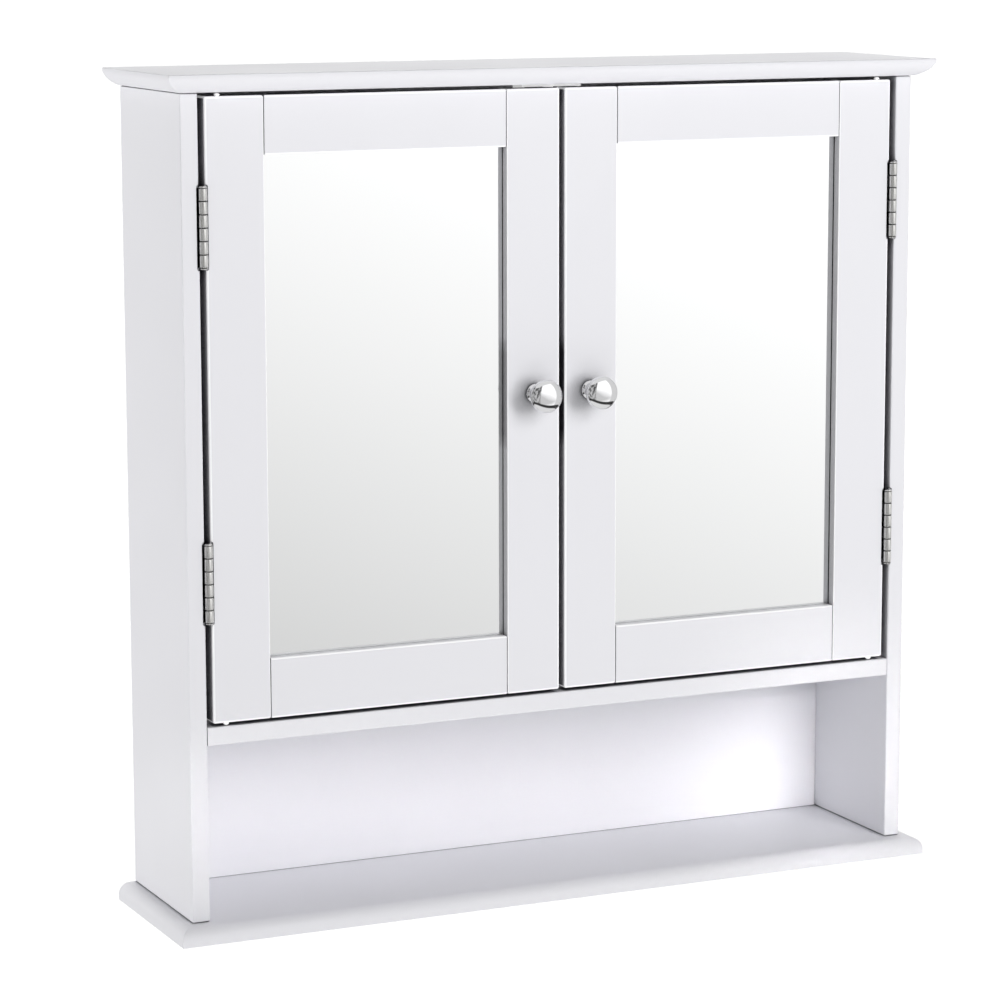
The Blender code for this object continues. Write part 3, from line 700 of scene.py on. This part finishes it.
def make_door_frame(side):
    sign = SIDES[side]
    names, boxes, inner_edges = door_boxes(side)
    for part, node in names.items():
        low, high = boxes[part]
        is_stile = part in inner_edges
        if is_stile:
            radii = stile_radii(inner_edges[part])
        else:
            radii = rail_radii(high.z if part == "top_rail" else low.z)
        mesh = box_mesh(part, low, high, OUTER_R, ARRIS_SEGMENTS, radii, DOOR_COATS[part])
        if not is_stile:
            for face in mesh.polygons:
                if abs(face.normal.x) > END_FACE:
                    face.material_index = 0
        tools = [rebate_mesh(side, high.y, STILE_LIP_CLEAR if is_stile else RAIL_LIP_CLEAR)]
        if part == "hinge_stile":
            edge_x = low.x if sign < 0 else high.x
            tools += hinge_gains(side, edge_x, -sign * GAIN_DEEP)
            tools += barrel_reliefs(side, edge_x)
        mesh = smoothed(carve(mesh, tools))
        add_piece(f"{node}_eased", mesh, bodies_of(side), "white_lacquer", replaces=[node], weighted=True)


# Glazing points: their flat shape, how they sit on the board, and their places along its edges.
POINT_OUTLINE = [(-3 * MM, 0), (3 * MM, 0), (3 * MM, 5 * MM), (0, 7.5 * MM), (-3 * MM, 5 * MM)]
POINT_THICK = 0.4 * MM
POINT_SEAT = Matrix.Translation((0, 0.05 * MM, -6.5 * MM))
UPRIGHT_SHARES = (0.12, 0.38, 0.62, 0.88)
LEVEL_SHARES = (0.25, 0.75)


def make_glazing_points(side):
    """Thin steel points driven into the rebate's wall, flat over the backing board."""
    low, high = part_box(f"door_{side}_backing_board")
    point = slab_mesh("glazing_point", POINT_OUTLINE, 0, POINT_THICK, 1)
    places = []
    for share in UPRIGHT_SHARES:
        z = low.z + share * (high.z - low.z)
        places.append((Vector((low.x, high.y, z)), -90))
        places.append((Vector((high.x, high.y, z)), 90))
    for share in LEVEL_SHARES:
        x = low.x + share * (high.x - low.x)
        places.append((Vector((x, high.y, low.z)), 180))
        places.append((Vector((x, high.y, high.z)), 0))
    for number, (spot, turn) in enumerate(places, 1):
        place = Matrix.Translation(spot) @ Matrix.Rotation(math.radians(turn), 4, "Y") @ POINT_SEAT
        add_piece(f"glazing_point_{side}_{number}", point, bodies_of(side), "zinc_steel", place=place)


# ---- knobs and buttons
KNOB_POWER = 2.3
KNOB_STEPS = 30
KNOB_FIRST_STEP = 6
KNOB_SCREW = (4.0 * MM, 1.9 * MM, 20 * MM, "pan")


def knob_mesh(length):
    """A mushroom knob along +Z, with its foot at 0 and its crown at length."""
    foot, waist, head_r, head_half = 6.5 * MM, 4.8 * MM, 11.3 * MM, 5.4 * MM
    profile = [
        (0, 0),
        (foot - 0.3 * MM, 0),
        (foot, 0.3 * MM),
        (foot, 1.2 * MM),
        (foot - 0.4 * MM, 1.7 * MM),
        (foot - 1.0 * MM, 2.1 * MM),
        (waist + 0.25 * MM, 3.2 * MM),
        (waist, 5.0 * MM),
        (waist, 8.5 * MM),
        (waist + 0.2 * MM, 10.5 * MM),
        (waist + 0.8 * MM, 11.8 * MM),
    ]
    middle = length - head_half
    for step in range(KNOB_FIRST_STEP, KNOB_STEPS + 1):
        turn = -math.pi / 2 + math.pi * step / KNOB_STEPS
        radius = head_r * max(math.cos(turn), 0.0) ** (2 / KNOB_POWER)
        along = math.sin(turn)
        reach = math.copysign(abs(along) ** (2 / KNOB_POWER), along)
        profile.append((radius if step < KNOB_STEPS else 0.0, middle + head_half * reach))
    return smoothed(lathe("knob", profile, 96), SMOOTH_BELOW_TURNED)


def make_knobs():
    for side in SIDES:
        body, node = bodies_of(side), f"knob_{side}"
        low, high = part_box(node)
        centre = node_centre(node)
        place = placed((centre.x, high.y, centre.z), (0, -1, 0))
        add_piece(f"{node}_turned", knob_mesh(high.y - low.y), body, "chrome", place=place, replaces=[node])
        node = f"knob_screw_{side}"
        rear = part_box(node)[1].y
        screw = screw_mesh("knob_screw_head", *KNOB_SCREW)
        place = placed((centre.x, rear, centre.z), (0, -1, 0))
        add_piece(f"{node}_detailed", screw, body, "zinc_steel", place=place, replaces=[node])


# (radius, height) of a spacer button: a stem in the wood and a domed head with its crown at 0.
BUTTON_PROFILE = [
    (0, -6 * MM),
    (1.1 * MM, -6 * MM),
    (1.2 * MM, -5.6 * MM),
    (1.2 * MM, -1.45 * MM),
    (1.75 * MM, -1.45 * MM),
    (1.9 * MM, -1.3 * MM),
    (1.85 * MM, -0.9 * MM),
    (1.6 * MM, -0.5 * MM),
    (1.2 * MM, -0.22 * MM),
    (0.6 * MM, -0.05 * MM),
    (0, 0),
]


def make_buttons():
    mesh = smoothed(lathe("spacer_button", BUTTON_PROFILE, 32), SMOOTH_BELOW_TURNED)
    for side in SIDES:
        for level, up in (("top", 1), ("bottom", -1)):
            node = f"spacer_button_{side}_{level}"
            low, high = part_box(node)
            centre = node_centre(node)
            place = placed((centre.x, centre.y, high.z if up > 0 else low.z), (0, 0, up))
            add_piece(f"{node}_moulded", mesh, bodies_of(side), "white_nylon", place=place, replaces=[node])


# ---- screws
RECESS_TAPER = 0.45
HEAD_SUNK = 0.05 * MM
BOTTOM_SCREW = (4.3 * MM, 2.0 * MM, 38 * MM)
# Screws are left at all angles: the bottom ones turn with their place, in radians per metre.
BOTTOM_SCREW_TURN = 60.0


def cross_cutters(reach, wide, deep):
    """Two crossed wedges from z = 0 upwards, for a screw's recess."""
    tools = []
    for turn in (0, math.pi / 2):
        bm = bmesh.new()
        place = Matrix.Rotation(turn, 4, "Z")
        bmesh.ops.create_cube(bm, size=1.0)
        for vert in bm.verts:
            shrink, level = (RECESS_TAPER, deep) if vert.co.z > 0 else (1.0, -MM)
            across = vert.co.y * wide * (0.6 + 0.4 * shrink)
            vert.co = place @ Vector((vert.co.x * 2 * reach * shrink, across, level))
        tools.append(mesh_from(bm, "recess"))
    return tools


def screw_mesh(name, head_r, shank_r, length, form="countersunk"):
    """A screw along +Z with its head's outer face at z = 0 and a cross recess in it."""
    if form == "countersunk":
        tall = (head_r - shank_r) * 1.15
        rim = [(head_r - 0.12 * MM, 0), (head_r, 0.1 * MM), (head_r, 0.25 * MM)]
        profile = [(0, 0), *rim, (shank_r, tall)]
    else:
        tall = head_r * 0.55
        profile = [
            (0, 0),
            (head_r * 0.45, 0.04 * head_r),
            (head_r * 0.78, 0.14 * head_r),
            (head_r * 0.94, 0.28 * head_r),
            (head_r, 0.42 * head_r),
            (head_r, tall),
            (shank_r, tall),
        ]
    profile += [(shank_r, length - shank_r * 2), (0, length)]
    mesh = lathe(name, profile, 32)
    return smoothed(carve(mesh, cross_cutters(head_r * 0.6, head_r * 0.24, head_r * 0.42)))


def bottom_screw_names():
    return [f"bottom_screw_{side}_{row}" for side in SIDES for row in ("front", "rear")]


def make_bottom_screws():
    mesh = screw_mesh("bottom_screw", *BOTTOM_SCREW)
    for name in bottom_screw_names():
        centre = node_centre(name)
        spot = (centre.x, centre.y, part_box(name)[0].z)
        place = Matrix.Translation(spot) @ Matrix.Rotation(BOTTOM_SCREW_TURN * centre.x, 4, "Z")
        add_piece(f"{name}_detailed", mesh, "cabinet", "zinc_steel", place=place, replaces=[name])


# ---- hinges
KNUCKLES = 6
BARREL_R = 2.8 * MM
BORE_R = 1.45 * MM
LEAF_THICK = 1.0 * MM
LEAF_NEAR = 3.2 * MM
LEAF_FAR = 14.5 * MM
LEAF_CORNER_R = 2.2 * MM
LEAF_WEB_IN = 0.2 * MM
LEAF_SCREW_ZS = (-17 * MM, 17 * MM)
LEAF_SCREW_Y = 9.5 * MM
HINGE_SCREW = (2.65 * MM, 1.2 * MM, 9 * MM)
KNUCKLE_GAP = 0.3 * MM
KNUCKLE_EASE = 0.75 * MM
KNUCKLE_STEPS = 4
BORE_EASE = 0.15 * MM
PIN_R = 1.35 * MM
DOME_R = BARREL_R - 0.1 * MM
DOME_TALL = 1.3 * MM
DOME_RIM = 0.2 * MM
DOME_POWER = 0.75
DOME_STEPS = 8
CUT_AHEAD = 0.05 * MM
NEARLY = 0.01 * MM
HINGE_SCREW_STEP = 0.7
HINGE_SCREW_TURNS = {"frame": 0.2, "door": 1.1}


def knuckle_mesh(low, high):
    """One hollow knuckle with rolled ends, round Z."""
    ease, turns = KNUCKLE_EASE, quarter_turns(KNUCKLE_STEPS)
    profile = [(BORE_R, low + BORE_EASE), (BORE_R + BORE_EASE, low)]
    for turn in turns:
        profile.append((BARREL_R - ease + ease * math.sin(turn), low + ease - ease * math.cos(turn)))
    for turn in turns:
        profile.append((BARREL_R - ease + ease * math.cos(turn), high - ease + ease * math.sin(turn)))
    profile += [(BORE_R + BORE_EASE, high), (BORE_R, high - BORE_EASE)]
    return lathe("knuckle", profile, 48, closed=True)


def leaf_outline(half, spans):
    """(y, z) points of a leaf plate: webs reach to the knuckles and the far corners are rounded."""
    points = []
    for low, high in spans:
        web = [(LEAF_NEAR, low), (LEAF_WEB_IN, low), (LEAF_WEB_IN, high), (LEAF_NEAR, high)]
        points += [(y, z) for y, z in web if abs(z) <= half - NEARLY or y != LEAF_NEAR]
    if abs(points[-1][1]) < half - NEARLY:
        points.append((LEAF_NEAR, half))
    if abs(points[0][1]) < half - NEARLY:
        points.insert(0, (LEAF_NEAR, -half))
    corner = []
    for turn in quarter_turns(6):
        along, across = LEAF_CORNER_R * math.cos(turn), LEAF_CORNER_R * math.sin(turn)
        corner.append((LEAF_FAR - LEAF_CORNER_R + along, half - LEAF_CORNER_R + across))
    return points + corner[::-1] + [(y, -z) for y, z in corner]


def leaf_mesh(name, side_of_axis, first, half):
    """One leaf with every second knuckle from the first, round the axis at x = y = 0."""
    pitch = (2 * half + KNUCKLE_GAP) / KNUCKLES
    long = pitch - KNUCKLE_GAP
    spans = []
    for index in range(first, KNUCKLES, 2):
        top = half - index * pitch
        spans.insert(0, (top - long, top))
    near, far = side_of_axis * (BARREL_R - LEAF_THICK), side_of_axis * BARREL_R
    plate = slab_mesh(name, leaf_outline(half, spans), near, far, 0)
    knuckles = [knuckle_mesh(low, high) for low, high in spans]
    leaf = carve(plate, knuckles, "UNION")
    holes = []
    for z in LEAF_SCREW_ZS:
        start = (near - side_of_axis * CUT_AHEAD, LEAF_SCREW_Y, z)
        end = (far + side_of_axis * 0.5 * MM, LEAF_SCREW_Y, z)
        holes.append(rod_mesh(start, end, 2.75 * MM, 1.2 * MM, 32))
    return smoothed(carve(leaf, holes))


def pin_mesh(half):
    """The pin, with a domed end the width of the barrel past each outer knuckle."""
    start = half + KNUCKLE_GAP * 0.5
    rim = start + DOME_RIM
    dome = [(PIN_R, start), (DOME_R - DOME_RIM, start), (DOME_R, rim)]
    for turn in quarter_turns(DOME_STEPS)[1:-1]:
        radius = DOME_R * math.cos(turn) ** DOME_POWER
        dome.append((radius, rim + (DOME_TALL - DOME_RIM) * math.sin(turn)))
    dome.append((0.0, start + DOME_TALL))
    profile = [(radius, -height) for radius, height in reversed(dome)] + dome
    return smoothed(lathe("hinge_pin", profile, 48), SMOOTH_BELOW_TURNED)


def make_hinges():
    screw = screw_mesh("hinge_screw", *HINGE_SCREW)
    for side, sign in SIDES.items():
        axis_x, axis_y, _ = JOINTS[bodies_of(side)]["pos_m"]
        low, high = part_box(f"hinge_{side}_upper_frame_leaf")
        half = (high.z - low.z) / 2
        meshes = {
            "frame": leaf_mesh(f"{side}_frame_leaf", sign, 0, half),
            "door": leaf_mesh(f"{side}_door_leaf", -sign, 1, half),
        }
        pin = pin_mesh(half)
        for level in LEVELS:
            low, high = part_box(f"hinge_{side}_{level}_frame_leaf")
            axis = Vector((axis_x, axis_y, (low.z + high.z) / 2))
            stem = f"hinge_{side}_{level}"
            place = Matrix.Translation(axis)
            node = f"{stem}_pin"
            add_piece(f"{node}_domed", pin, "cabinet", "nickel_steel", place=place, replaces=[node])
            for owner, body, out in (("frame", "cabinet", sign), ("door", bodies_of(side), -sign)):
                node, leaf = f"{stem}_{owner}_leaf", meshes[owner]
                add_piece(f"{node}_rolled", leaf, body, "nickel_steel", place=place, replaces=[node])
                for number, z in enumerate(LEAF_SCREW_ZS, 1):
                    spot = axis + Vector((out * (BARREL_R - LEAF_THICK + HEAD_SUNK), LEAF_SCREW_Y, z))
                    turn = HINGE_SCREW_STEP * number + HINGE_SCREW_TURNS[owner]
                    seat = placed(spot, (out, 0, 0), turn)
                    add_piece(f"{node}_screw_{number}", screw, body, "nickel_steel", place=seat)


# ---- catch and strikes
CATCH_EDGE_R = 1.1 * MM
CATCH_SLOT_HALF = 1.4 * MM
CATCH_SLOT_DEEP = 1.2 * MM
CATCH_SCREW = (2.7 * MM, 1.3 * MM, 13 * MM)
CATCH_SCREW_XS = (-13 * MM, 13 * MM)
CATCH_SCREW_TURN = 0.5
MAGNET_CLEAR = 0.3 * MM
POLE_THICK = 1.1 * MM
POLE_SPAN = (4.5 * MM, 19.2 * MM)
BAR_SETBACK = 0.5 * MM
STRIKE_SCREW = (2.3 * MM, 1.1 * MM, 8 * MM)
STRIKE_CORNER_R = 1.6 * MM


def make_catch():
    node = "catch_housing"
    low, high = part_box(node)
    magnet_low, magnet_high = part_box("catch_magnet")
    housing = box_mesh(node, low, high, CATCH_EDGE_R)
    pocket = box_mesh(
        "pocket",
        (magnet_low.x - MAGNET_CLEAR, low.y - MM, magnet_low.z - MAGNET_CLEAR),
        (magnet_high.x + MAGNET_CLEAR, magnet_high.y + MAGNET_CLEAR, magnet_high.z + MAGNET_CLEAR),
    )
    slot_low = (-CATCH_SLOT_HALF, low.y - MM, low.z - MM)
    slot_high = (CATCH_SLOT_HALF, low.y + CATCH_SLOT_DEEP, high.z + MM)
    tools = [pocket, box_mesh("slot", slot_low, slot_high)]
    screw_y = (magnet_high.y + MAGNET_CLEAR + high.y) / 2
    for x in CATCH_SCREW_XS:
        start, end = (x, screw_y, low.z - 0.5 * MM), (x, screw_y, low.z + 2.2 * MM)
        tools.append(rod_mesh(start, end, 3.2 * MM, 1.6 * MM))
    housing = smoothed(carve(housing, tools))
    add_piece(f"{node}_moulded", housing, "cabinet", "white_nylon", replaces=[node], weighted=True)
    screw = screw_mesh("catch_screw", *CATCH_SCREW)
    for number, x in enumerate(CATCH_SCREW_XS, 1):
        turn = Matrix.Rotation(CATCH_SCREW_TURN * number, 4, "Z")
        place = Matrix.Translation((x, screw_y, low.z + 0.15 * MM)) @ turn
        add_piece(f"catch_screw_{number}", screw, "cabinet", "zinc_steel", place=place)
    node = "catch_magnet"
    bar_low = (magnet_low.x, magnet_low.y + BAR_SETBACK, magnet_low.z + POLE_THICK)
    bar_high = (magnet_high.x, magnet_high.y, magnet_high.z - POLE_THICK)
    bar = smoothed(box_mesh(node, bar_low, bar_high, 0.25 * MM, 2))
    add_piece(f"{node}_bar", bar, "cabinet", "ferrite", replaces=[node], weighted=True)
    for side, sign in SIDES.items():
        x_low, x_high = sorted(sign * x for x in POLE_SPAN)
        for label, z_low in (("lower", magnet_low.z), ("upper", magnet_high.z - POLE_THICK)):
            start, end = (x_low, magnet_low.y, z_low), (x_high, magnet_high.y, z_low + POLE_THICK)
            plate = smoothed(box_mesh("pole", start, end, 0.2 * MM, 2))
            add_piece(f"catch_pole_{side}_{label}", plate, "cabinet", "nickel_steel", weighted=True)


def make_strikes():
    screw = screw_mesh("strike_screw", *STRIKE_SCREW)
    for side in SIDES:
        node, body = f"strike_plate_{side}", bodies_of(side)
        low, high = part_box(node)
        x, _, z = node_centre(node)
        outline = rounded_outline((low.x, low.z), (high.x, high.z), (STRIKE_CORNER_R,) * 4)
        plate = slab_mesh(node, outline, low.y, high.y, 1)
        sink = rod_mesh((x, high.y + 0.1 * MM, z), (x, low.y - 0.5 * MM, z), 2.5 * MM, MM)
        mesh = smoothed(carve(plate, [sink]))
        add_piece(f"{node}_pressed", mesh, body, "nickel_steel", replaces=[node])
        place = placed((x, high.y - HEAD_SUNK, z), (0, -1, 0))
        add_piece(f"strike_screw_{side}", screw, body, "zinc_steel", place=place)


# ---- carcass fittings
HANGER_CORNER_R = 5 * MM
HANGER_SCREW = (2.9 * MM, 1.5 * MM, 11 * MM)
HANGER_SCREW_ZS = (-16 * MM, 16 * MM)
# The keyhole's round opening and the slot above it: radii, and heights from the plate's middle.
KEYHOLE_R, SLOT_R = 5.5 * MM, 3 * MM
KEYHOLE_Z, SLOT_TOP_Z = -6 * MM, 5 * MM
CAM_DISH = 0.5 * MM
CAM_EASE = 0.25 * MM
CAM_CROSS = (3 * MM, 1.2 * MM, 2 * MM)
CAM_TURN = 0.4
PEG_R = 2.5 * MM
PEG_STEM = 8 * MM
PEG_COLLAR_END = PEG_STEM + MM


def make_hangers():
    screw = screw_mesh("hanger_screw", *HANGER_SCREW)
    for side in SIDES:
        node = f"keyhole_hanger_{side}"
        low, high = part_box(node)
        x, _, middle = node_centre(node)
        front, back = low.y - MM, high.y + MM
        keyhole_z, slot_top = middle + KEYHOLE_Z, middle + SLOT_TOP_Z
        outline = rounded_outline((low.x, low.z), (high.x, high.z), (HANGER_CORNER_R,) * 4)
        plate = slab_mesh(node, outline, low.y, high.y, 1)
        tools = [
            rod_mesh((x, front, keyhole_z), (x, back, keyhole_z), KEYHOLE_R, segments=48),
            box_mesh("slot", (x - SLOT_R, front, keyhole_z), (x + SLOT_R, back, slot_top)),
            rod_mesh((x, front, slot_top), (x, back, slot_top), SLOT_R, segments=48),
        ]
        spots = [middle + offset for offset in HANGER_SCREW_ZS]
        for z in spots:
            start, end = (x, high.y + 0.1 * MM, z), (x, low.y - 0.3 * MM, z)
            tools.append(rod_mesh(start, end, 3.1 * MM, 1.4 * MM, 32))
        mesh = smoothed(carve(plate, tools))
        add_piece(f"{node}_pressed", mesh, "cabinet", "zinc_steel", replaces=[node])
        for number, z in enumerate(spots, 1):
            place = placed((x, high.y - HEAD_SUNK, z), (0, -1, 0))
            add_piece(f"{node}_screw_{number}", screw, "cabinet", "zinc_steel", place=place)


def make_cams():
    for side, sign in SIDES.items():
        node = f"cam_nut_{side}"
        low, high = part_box(node)
        _, y, z = node_centre(node)
        radius, deep = (high.z - low.z) / 2, high.x - low.x
        profile = [
            (0, CAM_DISH),
            (radius - 1.5 * MM, CAM_DISH),
            (radius - 1.2 * MM, 0),
            (radius - CAM_EASE, 0),
            (radius, CAM_EASE),
            (radius, deep),
            (0, deep),
        ]
        mesh = lathe(node, profile, 48)
        lift = Matrix.Translation((0, 0, CAM_DISH))
        mesh = smoothed(carve(mesh, [carried(tool, lift) for tool in cross_cutters(*CAM_CROSS)]))
        place = placed((high.x if sign < 0 else low.x, y, z), (sign, 0, 0), CAM_TURN)
        add_piece(f"{node}_cast", mesh, "cabinet", "zinc_steel", place=place, replaces=[node])


def make_pegs():
    for side, sign in SIDES.items():
        for row in ("front", "rear"):
            node = f"shelf_peg_{side}_{row}"
            low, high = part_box(node)
            _, y, z = node_centre(node)
            collar_r, long = (high.z - low.z) / 2, high.x - low.x
            profile = [
                (0, 0),
                (PEG_R - 0.5 * MM, 0),
                (PEG_R, 0.5 * MM),
                (PEG_R, PEG_STEM),
                (collar_r - 0.2 * MM, PEG_STEM),
                (collar_r, PEG_STEM + 0.25 * MM),
                (collar_r, PEG_COLLAR_END - 0.25 * MM),
                (collar_r - 0.2 * MM, PEG_COLLAR_END),
                (PEG_R, PEG_COLLAR_END),
                (PEG_R, long - 0.6 * MM),
                (PEG_R - 0.6 * MM, long),
                (0, long),
            ]
            mesh = smoothed(lathe(node, profile, 40))
            place = placed((low.x if sign < 0 else high.x, y, z), (-sign, 0, 0))
            add_piece(f"{node}_turned", mesh, "cabinet", "nickel_steel", place=place, replaces=[node])


# ---- studio
FLOOR_SIZE = 60.0
FLOOR_DROP = 2.2
FLOOR_GLOW = 1.0
BACKDROP_LEVEL = 1.05
# Diffuse light: the dome above and below the horizon, and a bright foot low in front.
DOME_HIGH, DOME_LOW = 0.22, 0.50
DOME_FOOT, DOME_STEEP, DOME_FRONT = 0.95, (-0.4, -0.6), (-0.05, -0.35)
# What polished surfaces see: a card in front on the right, brightest at its top right, and a darker room.
# The card's level rises with x, and with z on both sides of the fold. Its sides are in degrees.
GLOSS_LEVEL, GLOSS_X, GLOSS_Z = 0.843, 1.065, 2.46
GLOSS_DARK, GLOSS_BRIGHT = 0.66, 1.25
GLOSS_FOLD = -0.30
CARD_LEFT, CARD_RIGHT = (-7, -3), (49, 45)
CARD_TOP, CARD_FOOT, GROUND_EDGE = (0.66, 0.70), (-0.47, -0.50), (-0.65, -0.69)
BEHIND, BEHIND_RISE = (100, 125), (-0.06, 0.06)
CLUTTER_SCALE, CLUTTER_DETAIL, CLUTTER_RANGE = 4.0, 3.0, (0.42, 0.56)
WALL_DARK, WALL_LIGHT, WALL_GREY = 0.10, 0.58, 0.72
CEILING_GREY, FOOT_DARK, GROUND_GREY, BEHIND_LEVEL = 0.78, 0.05, 0.80, 1.12
# Soft lights: aim, azimuth, elevation, distance, size, power and spread, with angles in degrees.
# Azimuth 0 is straight in front, and positive to the viewer's right.
AIM = Vector((0, -0.1, -0.25))
NICHE_AIM = Vector((-0.015, -0.06, -0.468))
NICHE_CORNER = Vector((0.228, -0.03, -0.475))
LIGHTS = {
    "key_low": (AIM, 20, 7, 3.0, (0.80, 0.80), 21.2, 180),
    "key_high": (AIM, 18, 26, 3.0, (1.2, 1.2), 25.0, 180),
    "left_rear": (AIM, -105, -2, 1.6, (1.0, 1.0), 10.9, 180),
    "top_rear": (AIM, 160, 50, 2.4, (1.6, 1.6), 20.8, 180),
    "niche_strip": (NICHE_AIM, -19, 13, 1.1, (0.54, 0.06), 0.0260, 6),
    "niche_corner": (NICHE_CORNER, -16, 18, 1.1, (0.11, 0.12), 0.0165, 9),
}
# Fitted to the cabinet's corners. The turns are yaw, pitch and roll in degrees, and the lens is in mm.
CAMERA_SPOT = (-1.02793, -2.24558, 0.13779)
CAMERA_TURNS = (24.760, -9.403, -0.118)
CAMERA_LENS = 127.94


def make_floor():
    """A white floor far below, for the camera alone: it isn't reflected and lights nothing."""
    bm = bmesh.new()
    bmesh.ops.create_grid(bm, x_segments=1, y_segments=1, size=FLOOR_SIZE)
    floor = loose_object(mesh_from(bm, "studio_floor"))
    floor.location.z = cad_low.z - FLOOR_DROP
    surface = Surface("studio_floor", (0.93, 0.93, 0.93), 0.9)
    surface.glow(FLOOR_GLOW)
    surface.roughness_from(surface.spread(surface.noise(3.0), 0.85, 0.95))
    floor.data.materials.append(surface.material)
    floor.visible_glossy = False
    floor.visible_diffuse = False


def make_world():
    """Plain white for camera rays, the dome for diffuse rays, and a made-up studio for glossy rays."""
    world = bpy.data.worlds.new("studio")
    bpy.context.scene.world = world
    world.use_nodes = True
    graph = Graph(world.node_tree)
    graph.tree.nodes.clear()

    combine = graph.math

    def ramp(value, low, high):
        return graph.spread(value, 0.0, 1.0, low, high)

    def turn_ramp(value, degrees):
        return ramp(value, *(math.radians(angle) for angle in degrees))

    def mix(share, without, with_it):
        kept = combine("MULTIPLY", combine("SUBTRACT", 1.0, share), without)
        return combine("ADD", kept, combine("MULTIPLY", share, with_it))

    direction = graph.node("TexCoord").outputs["Generated"]
    x, y, z = graph.axes(direction)
    azimuth = combine("ARCTAN2", x, combine("MULTIPLY", y, -1.0))

    fold = combine("ADD", combine("ABSOLUTE", combine("SUBTRACT", z, GLOSS_FOLD), 0.0), GLOSS_FOLD)
    card = combine("ADD", combine("MULTIPLY", x, GLOSS_X), combine("MULTIPLY", fold, GLOSS_Z))
    card = combine("ADD", card, GLOSS_LEVEL)
    card = combine("MINIMUM", combine("MAXIMUM", card, GLOSS_DARK), GLOSS_BRIGHT)
    on_card = combine("MULTIPLY", turn_ramp(azimuth, CARD_LEFT), turn_ramp(azimuth, CARD_RIGHT))
    clutter = graph.node("TexNoise", Vector=direction, Scale=CLUTTER_SCALE, Detail=CLUTTER_DETAIL)
    left_wall = mix(ramp(clutter.outputs["Fac"], *CLUTTER_RANGE), WALL_DARK, WALL_LIGHT)
    room = mix(turn_ramp(azimuth, CARD_LEFT), left_wall, WALL_GREY)
    behind = turn_ramp(combine("ABSOLUTE", azimuth, 0.0), BEHIND)
    room = mix(combine("MULTIPLY", behind, ramp(z, *BEHIND_RISE)), room, BEHIND_LEVEL)
    gloss = mix(on_card, room, card)
    gloss = mix(ramp(z, *CARD_TOP), gloss, CEILING_GREY)
    gloss = mix(ramp(z, *CARD_FOOT), gloss, FOOT_DARK)
    gloss = mix(ramp(z, *GROUND_EDGE), gloss, GROUND_GREY)

    below = combine("MULTIPLY", combine("LESS_THAN", z, 0.0), DOME_LOW - DOME_HIGH)
    foot = combine("MULTIPLY", ramp(z, *DOME_STEEP), ramp(y, *DOME_FRONT))
    dome = combine("ADD", below, DOME_HIGH)
    dome = combine("ADD", dome, combine("MULTIPLY", foot, DOME_FOOT))

    path = graph.node("LightPath")
    strength = mix(path.outputs["Is Glossy Ray"], dome, gloss)
    strength = mix(path.outputs["Is Camera Ray"], strength, BACKDROP_LEVEL)
    background = graph.node("Background", Color=WHITE, Strength=strength)
    graph.node("OutputWorld", Surface=background.outputs["Background"])


def add_light(name, aim, azimuth, elevation, distance, size, power, spread):
    data = bpy.data.lights.new(name, "AREA")
    data.shape = "RECTANGLE"
    data.size, data.size_y = size
    data.energy = power
    data.spread = math.radians(spread)
    lamp = loose_object(data)
    turn, rise = math.radians(azimuth), math.radians(elevation)
    direction = Vector((math.sin(turn) * math.cos(rise), -math.cos(turn) * math.cos(rise), math.sin(rise)))
    lamp.location = aim + distance * direction
    lamp.rotation_mode = "QUATERNION"
    lamp.rotation_quaternion = (-direction).to_track_quat("-Z", "Y")
    lamp.visible_glossy = False
    lamp.visible_camera = False


def make_camera():
    """A long lens from the left and a little above."""
    yaw, pitch, roll = (math.radians(angle) for angle in CAMERA_TURNS)
    forward = Vector((math.sin(yaw) * math.cos(pitch), math.cos(yaw) * math.cos(pitch), math.sin(pitch)))
    right = forward.cross(Vector((0, 0, 1))).normalized()
    up = right.cross(forward)
    level_right = right * math.cos(roll) + up * math.sin(roll)
    level_up = up * math.cos(roll) - right * math.sin(roll)
    data = bpy.data.cameras.new("camera")
    data.sensor_width = 36.0
    data.lens = CAMERA_LENS
    camera = loose_object(data)
    basis = Matrix((level_right, level_up, -forward)).transposed().to_4x4()
    camera.matrix_world = Matrix.Translation(CAMERA_SPOT) @ basis
    bpy.context.scene.camera = camera


def main():
    dress_cad_nodes()
    make_moulded_boards()
    make_side_panels()
    for side in SIDES:
        make_door_frame(side)
        make_glazing_points(side)
    make_knobs()
    make_buttons()
    make_bottom_screws()
    make_hinges()
    make_catch()
    make_strikes()
    make_hangers()
    make_cams()
    make_pegs()
    make_floor()
    make_world()
    for name, values in LIGHTS.items():
        add_light(name, *values)
    make_camera()
    bpy.context.scene.view_settings.view_transform = "Standard"


main()
